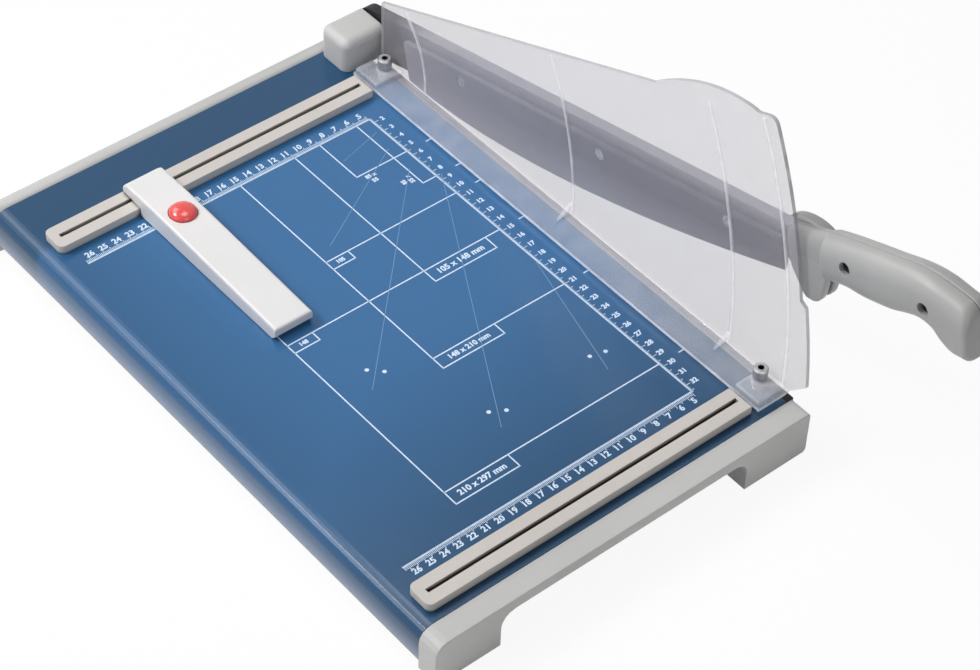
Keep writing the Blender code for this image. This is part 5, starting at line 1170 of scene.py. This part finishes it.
def slim_post(node_name, post_y):
    """A post of the frame with its head drawn in and its socket faces in dark metal as painted shade.
    """
    post = node_copy(node_name, node_name + "_slim")
    axis = ORIGIN + Vector((-POST_INSET, post_y, 0))
    level = ORIGIN.z + pad_top
    top = max(vertex.co.z for vertex in post.data.vertices)
    for vertex in post.data.vertices:
        if vertex.co.z > level:
            vertex.co.x = axis.x + (vertex.co.x - axis.x) * POST_HEAD_SHARE
            vertex.co.y = axis.y + (vertex.co.y - axis.y) * POST_HEAD_SHARE
    shade(post, POST_ZINC, MATERIALS["dark_metal"])
    # socket faces take the dark metal as painted shade in the socket
    for face in post.data.polygons:
        reach = (face.center - axis).to_2d().length
        if reach < POST_SHADED_SOCKET_REACH and level < face.center.z < top - WELD:
            face.material_index = 1
    hand_over(post, "base", node_name)


# Red button

def red_button():
    low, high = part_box("backstop_button")
    middle = (low + high) / 2
    level = high.z - BUTTON_DOME - BUTTON_SKIRT
    ceiling = BUTTON_SKIRT + BUTTON_WALL
    inner = BUTTON_RADIUS - BUTTON_WALL
    small = BUTTON_TIP_ROUND
    profile = []
    for i in range(BUTTON_DOME_STEPS + 1):
        angle = math.radians(90) * i / BUTTON_DOME_STEPS
        profile.append((BUTTON_RADIUS * math.sin(angle), BUTTON_SKIRT + BUTTON_DOME * math.cos(angle)))
    profile += [
        (BUTTON_RADIUS, small), (BUTTON_RADIUS - small, 0), (inner, 0), (inner, ceiling),
        (BUTTON_STEM_RADIUS, ceiling), (BUTTON_STEM_RADIUS, ceiling - BUTTON_STEM_LENGTH),
        (0, ceiling - BUTTON_STEM_LENGTH),
    ]
    button = turned("button_dome", profile, (middle.x, middle.y, level), BUTTON_SIDES)
    shade(button, MATERIALS["red_plastic"])
    hand_over(button, "button", "backstop_button")


# Springs

def springs():
    """The coil springs that the record names under the joints, each a copy of its node on the node's
    body.
    """
    behaviour = frame["record"]["behaviour"]
    body_of = {node: body for body, nodes in behaviour["bodies"].items() for node in nodes}
    slot_of = {row["node"]: row["material_slot"] for row in frame["record"]["subparts"]}
    for joint in behaviour["joints"]:
        for row in joint.get("deforming_nodes", ()):
            name = row["node"]
            coil = node_copy(name, name + "_coil")
            tidy_mesh(coil)
            shade(coil, MATERIALS[slot_of[name]])
            hand_over(coil, body_of[name], name)
            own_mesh(coil)


# Printed marks

def add_print(bm, corners):
    """A thin closed shape on the table, through (x, y) corners."""
    rings = [[(x, y, level) for x, y in corners] for level in (-PRINT_SUNK, PRINT_PROUD)]
    add_ring_solid(bm, rings)


def add_strip(bm, first, second, width):
    """A strip between two (left, down) places."""
    start, end = Vector((-first[0], -first[1])), Vector((-second[0], -second[1]))
    along = (end - start).normalized()
    side = Vector((-along.y, along.x)) * (width / 2)
    add_print(bm, (start - side, end - side, end + side, start + side))


def finish_print(name, bm, ink):
    """Names a printed piece, turns its faces outwards and lays it on the table."""
    bmesh.ops.recalc_face_normals(bm, faces=bm.faces)
    piece = mesh_object(name, bm)
    piece.data.materials.append(ink)
    piece.data.transform(model_to_row)
    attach(piece, "base")


def format_lines():
    """The sheet formats and the three long lines that they start from."""
    bm = bmesh.new()
    for down in (ORIGIN_LINE, NEAR_LINE):
        add_strip(bm, (RULER_END, down), (EDGE_LINE - LINE_WIDTH / 2, down), LINE_WIDTH)
    add_strip(bm, (EDGE_LINE, ORIGIN_LINE), (EDGE_LINE, NEAR_LINE), LINE_WIDTH)
    for across, down in UPRIGHT_SHEETS:
        add_strip(bm, (across, ORIGIN_LINE), (across, down), THIN_WIDTH)
    reaches = {}
    for across, down in SHEET_FORMATS:
        reaches[down] = max(across, reaches.get(down, 0))
    for down, across in reaches.items():
        add_strip(bm, (across + THIN_WIDTH / 2, down), (EDGE_LINE, down), THIN_WIDTH)
    for left, right, top, bottom, _ in LABEL_BOXES:
        add_strip(bm, (right, top), (right, bottom), THIN_WIDTH)
        add_strip(bm, (left + THIN_WIDTH / 2, bottom), (right - THIN_WIDTH / 2, bottom), THIN_WIDTH)
    for down in EDGE_MARKS:
        add_strip(bm, (EDGE_MARK_SPAN[1], down), (EDGE_MARK_SPAN[0], down), THIN_WIDTH)
    finish_print("print_format_lines", bm, LINE_INK)


def tick_length(number, lengths):
    """The length of a tick at a number, halfway to the next or between."""
    if number % TICKS_IN_NUMBER == 0:
        return lengths[0]
    return lengths[1] if number % (TICKS_IN_NUMBER // 2) == 0 else lengths[2]


def ruler_ticks():
    """Millimetre ticks on the rail side of both rulers and beside the line along the guard."""
    bm = bmesh.new()
    steps = round((RULER_END - EDGE_LINE) / RULER_STEP)
    first = math.ceil(EDGE_LINE / RULER_STEP)
    for i in range(first, first + steps):
        place = i * RULER_STEP
        length = tick_length(i, RULER_TICKS)
        add_strip(bm, (place, ORIGIN_LINE), (place, ORIGIN_LINE - length), TICK_WIDTH)
        add_strip(bm, (place, NEAR_LINE), (place, NEAR_LINE + length), TICK_WIDTH)
    for i in range(math.ceil(ORIGIN_LINE / RULER_STEP), math.floor(NEAR_LINE / RULER_STEP) + 1):
        place = i * RULER_STEP
        length = tick_length(i, EDGE_TICKS)
        add_strip(bm, (EDGE_LINE, place), (EDGE_LINE - length, place), TICK_WIDTH)
    finish_print("print_ruler_ticks", bm, LINE_INK)


def angle_lines():
    """Faint lines at 15, 30, 45, 60 and 75 degrees from the corner, and their pairs of dots."""
    bm = bmesh.new()
    for degrees, start, end in ANGLE_LINES:
        slope = math.radians(degrees)
        ends = [(r * math.sin(slope), ORIGIN_LINE + r * math.cos(slope)) for r in (start, end)]
        add_strip(bm, *ends, FAINT_WIDTH)
    finish_print("print_angle_lines", bm, FAINT_INK)
    bm = bmesh.new()
    for degrees, reach in DOT_PAIRS:
        slope = math.radians(degrees)
        for side in (-1, 1):
            left = reach * math.sin(slope) + side * DOT_SPREAD * math.cos(slope)
            down = ORIGIN_LINE + reach * math.cos(slope) - side * DOT_SPREAD * math.sin(slope)
            add_print(bm, oval((-left, -down), DOT_RADIUS, DOT_RADIUS, DOT_SIDES))
    finish_print("print_angle_dots", bm, LINE_INK)


def text_mesh(bm, text, place, height, turn=0):
    """Adds one line of plain numbers, upright for someone at the handle end."""
    curve = bpy.data.curves.new("text", "FONT")
    curve.body = text
    curve.size = height / FONT_CAP_SHARE
    curve.align_x = "CENTER"
    curve.align_y = "CENTER"
    curve.extrude = (PRINT_PROUD + PRINT_SUNK) / 2
    curve.resolution_u = TEXT_CURVE_STEPS
    curve.offset = TEXT_WEIGHT
    holder = add_object("text", curve)
    holder.location = (-place[0], -place[1], (PRINT_PROUD - PRINT_SUNK) / 2)
    holder.rotation_euler = (0, 0, turn)
    bpy.context.view_layer.update()
    mesh = evaluated_mesh(holder)
    mesh.transform(holder.matrix_world)
    bm.from_mesh(mesh)
    bpy.data.objects.remove(holder)
    bpy.data.meshes.remove(mesh)


def numbers():
    """The centimetre numbers of the three rulers and the sheet sizes in the boxes."""
    bm = bmesh.new()
    last = math.floor(RULER_END / NUMBER_STEP)
    middle = RULER_NUMBER_GAP + RULER_NUMBER_HEIGHT / 2
    for number in range(FIRST_NUMBER, last + 1):
        left = number * NUMBER_STEP - RULER_NUMBER_SHIFT
        for down in (ORIGIN_LINE - middle, NEAR_LINE + middle):
            text_mesh(bm, str(number), (left, down), RULER_NUMBER_HEIGHT)
    rows = round((NEAR_LINE - ORIGIN_LINE) / NUMBER_STEP)
    for number in range(FIRST_EDGE_NUMBER, rows + FIRST_EDGE_NUMBER):
        text_mesh(bm, str(number), (EDGE_NUMBER_PLACE, number * NUMBER_STEP), EDGE_NUMBER_HEIGHT)
    for left, right, top, bottom, text in LABEL_BOXES:
        height = (bottom - top) * LABEL_TEXT_SHARE
        text_mesh(bm, text, ((left + right) / 2, (top + bottom) / 2), height)
    for text, place, turn in SMALL_TEXTS:
        text_mesh(bm, text, place, SMALL_TEXT_HEIGHT, turn)
    bmesh.ops.remove_doubles(bm, verts=bm.verts, dist=WELD)
    finish_print("print_numbers", bm, LINE_INK)


# Frame nodes that keep their shape and get their finish

def dress_frame():
    for subpart in frame["record"]["subparts"]:
        node = frame["nodes"][subpart["node"]]
        slot = subpart["material_slot"]
        if slot not in MATERIALS:
            continue
        node.data.materials.clear()
        node.data.materials.append(NODE_MATERIALS.get(subpart["node"], MATERIALS[slot]))
        weld = node.modifiers.new("weld", "WELD")
        weld.merge_threshold = FRAME_WELD


# Floor, world, lamps and camera

def camera_ray_share(tree):
    """1 for camera, glossy and transmission rays, and 0 for the rest."""
    path = add_node(tree, "LightPath", {})
    total = path.outputs["Is Camera Ray"]
    for name in ("Is Glossy Ray", "Is Transmission Ray"):
        total = math_node("MAXIMUM", total, path.outputs[name])
    return total


def mix_with_white(tree, output, share, plain, white):
    """Gives an output a plain shader, and a share of a white one."""
    mix = add_node(tree, "MixShader", {"Fac": share, 1: plain, 2: white})
    add_node(tree, output, {"Surface": mix.outputs["Shader"]})


def floor():
    material = bpy.data.materials.new("pale_floor")
    material.use_nodes = True
    tree = material.node_tree
    tree.nodes.clear()
    share = math_node("MULTIPLY", camera_ray_share(tree), FLOOR_WHITE_SHARE)
    plain = add_node(tree, "BsdfDiffuse", {"Color": FLOOR_COLOUR}).outputs["BSDF"]
    white = add_node(tree, "Emission", {}).outputs["Emission"]
    mix_with_white(tree, "OutputMaterial", share, plain, white)
    bm = bmesh.new()
    bmesh.ops.create_grid(bm, x_segments=1, y_segments=1, size=FLOOR_HALF)
    piece = mesh_object("floor", bm)
    piece.data.materials.append(material)


def world():
    background = bpy.data.worlds.new("studio")
    bpy.context.scene.world = background
    background.use_nodes = True
    tree = background.node_tree
    tree.nodes.clear()
    shaders = []
    for strength in (AMBIENT_STRENGTH, 1):
        node = add_node(tree, "Background", {"Color": WHITE, "Strength": strength})
        shaders.append(node.outputs["Background"])
    mix_with_white(tree, "OutputWorld", camera_ray_share(tree), *shaders)


def lamp(name, place, size, watts):
    """A square soft lamp aimed at the middle of the table, never seen itself."""
    data = bpy.data.lights.new(name, "AREA")
    data.size = size
    data.energy = watts
    lamp_object = add_object(name, data)
    lamp_object.location = place
    lamp_object.visible_camera = False
    lamp_object.rotation_mode = "QUATERNION"
    aim = camera_target - Vector(place)
    lamp_object.rotation_quaternion = aim.to_track_quat("-Z", "Y")


def camera():
    back = Vector((
        math.sin(CAMERA_AZIMUTH) * math.cos(CAMERA_ELEVATION),
        -math.cos(CAMERA_AZIMUTH) * math.cos(CAMERA_ELEVATION),
        math.sin(CAMERA_ELEVATION),
    ))
    level = Vector((0, 0, 1)).cross(back).normalized()
    upright = back.cross(level)
    cos_roll, sin_roll = math.cos(CAMERA_ROLL), math.sin(CAMERA_ROLL)
    right = level * cos_roll + upright * sin_roll
    up = upright * cos_roll - level * sin_roll
    data = bpy.data.cameras.new("camera")
    data.sensor_width = SENSOR_WIDTH
    data.lens = CAMERA_FOCAL_PIXELS / IMAGE_WIDTH * SENSOR_WIDTH
    camera_object = add_object("camera", data)
    turn = Matrix((right, up, back)).transposed().to_4x4()
    camera_object.matrix_world = Matrix.Translation(camera_target + back * CAMERA_DISTANCE) @ turn
    bpy.context.scene.camera = camera_object


def build():
    dress_frame()
    handle_half("handle_left", -1)
    handle_half("handle_right", 1)
    far_cap()
    clear_guard()
    for node_name, post_y in zip(("guard_post_far", "guard_post_near"), post_places):
        slim_post(node_name, post_y)
    red_button()
    springs()
    format_lines()
    ruler_ticks()
    angle_lines()
    numbers()
    floor()
    world()
    for row in LAMPS:
        lamp(*row)
    camera()
    bpy.context.scene.view_settings.view_transform = "Standard"


build()
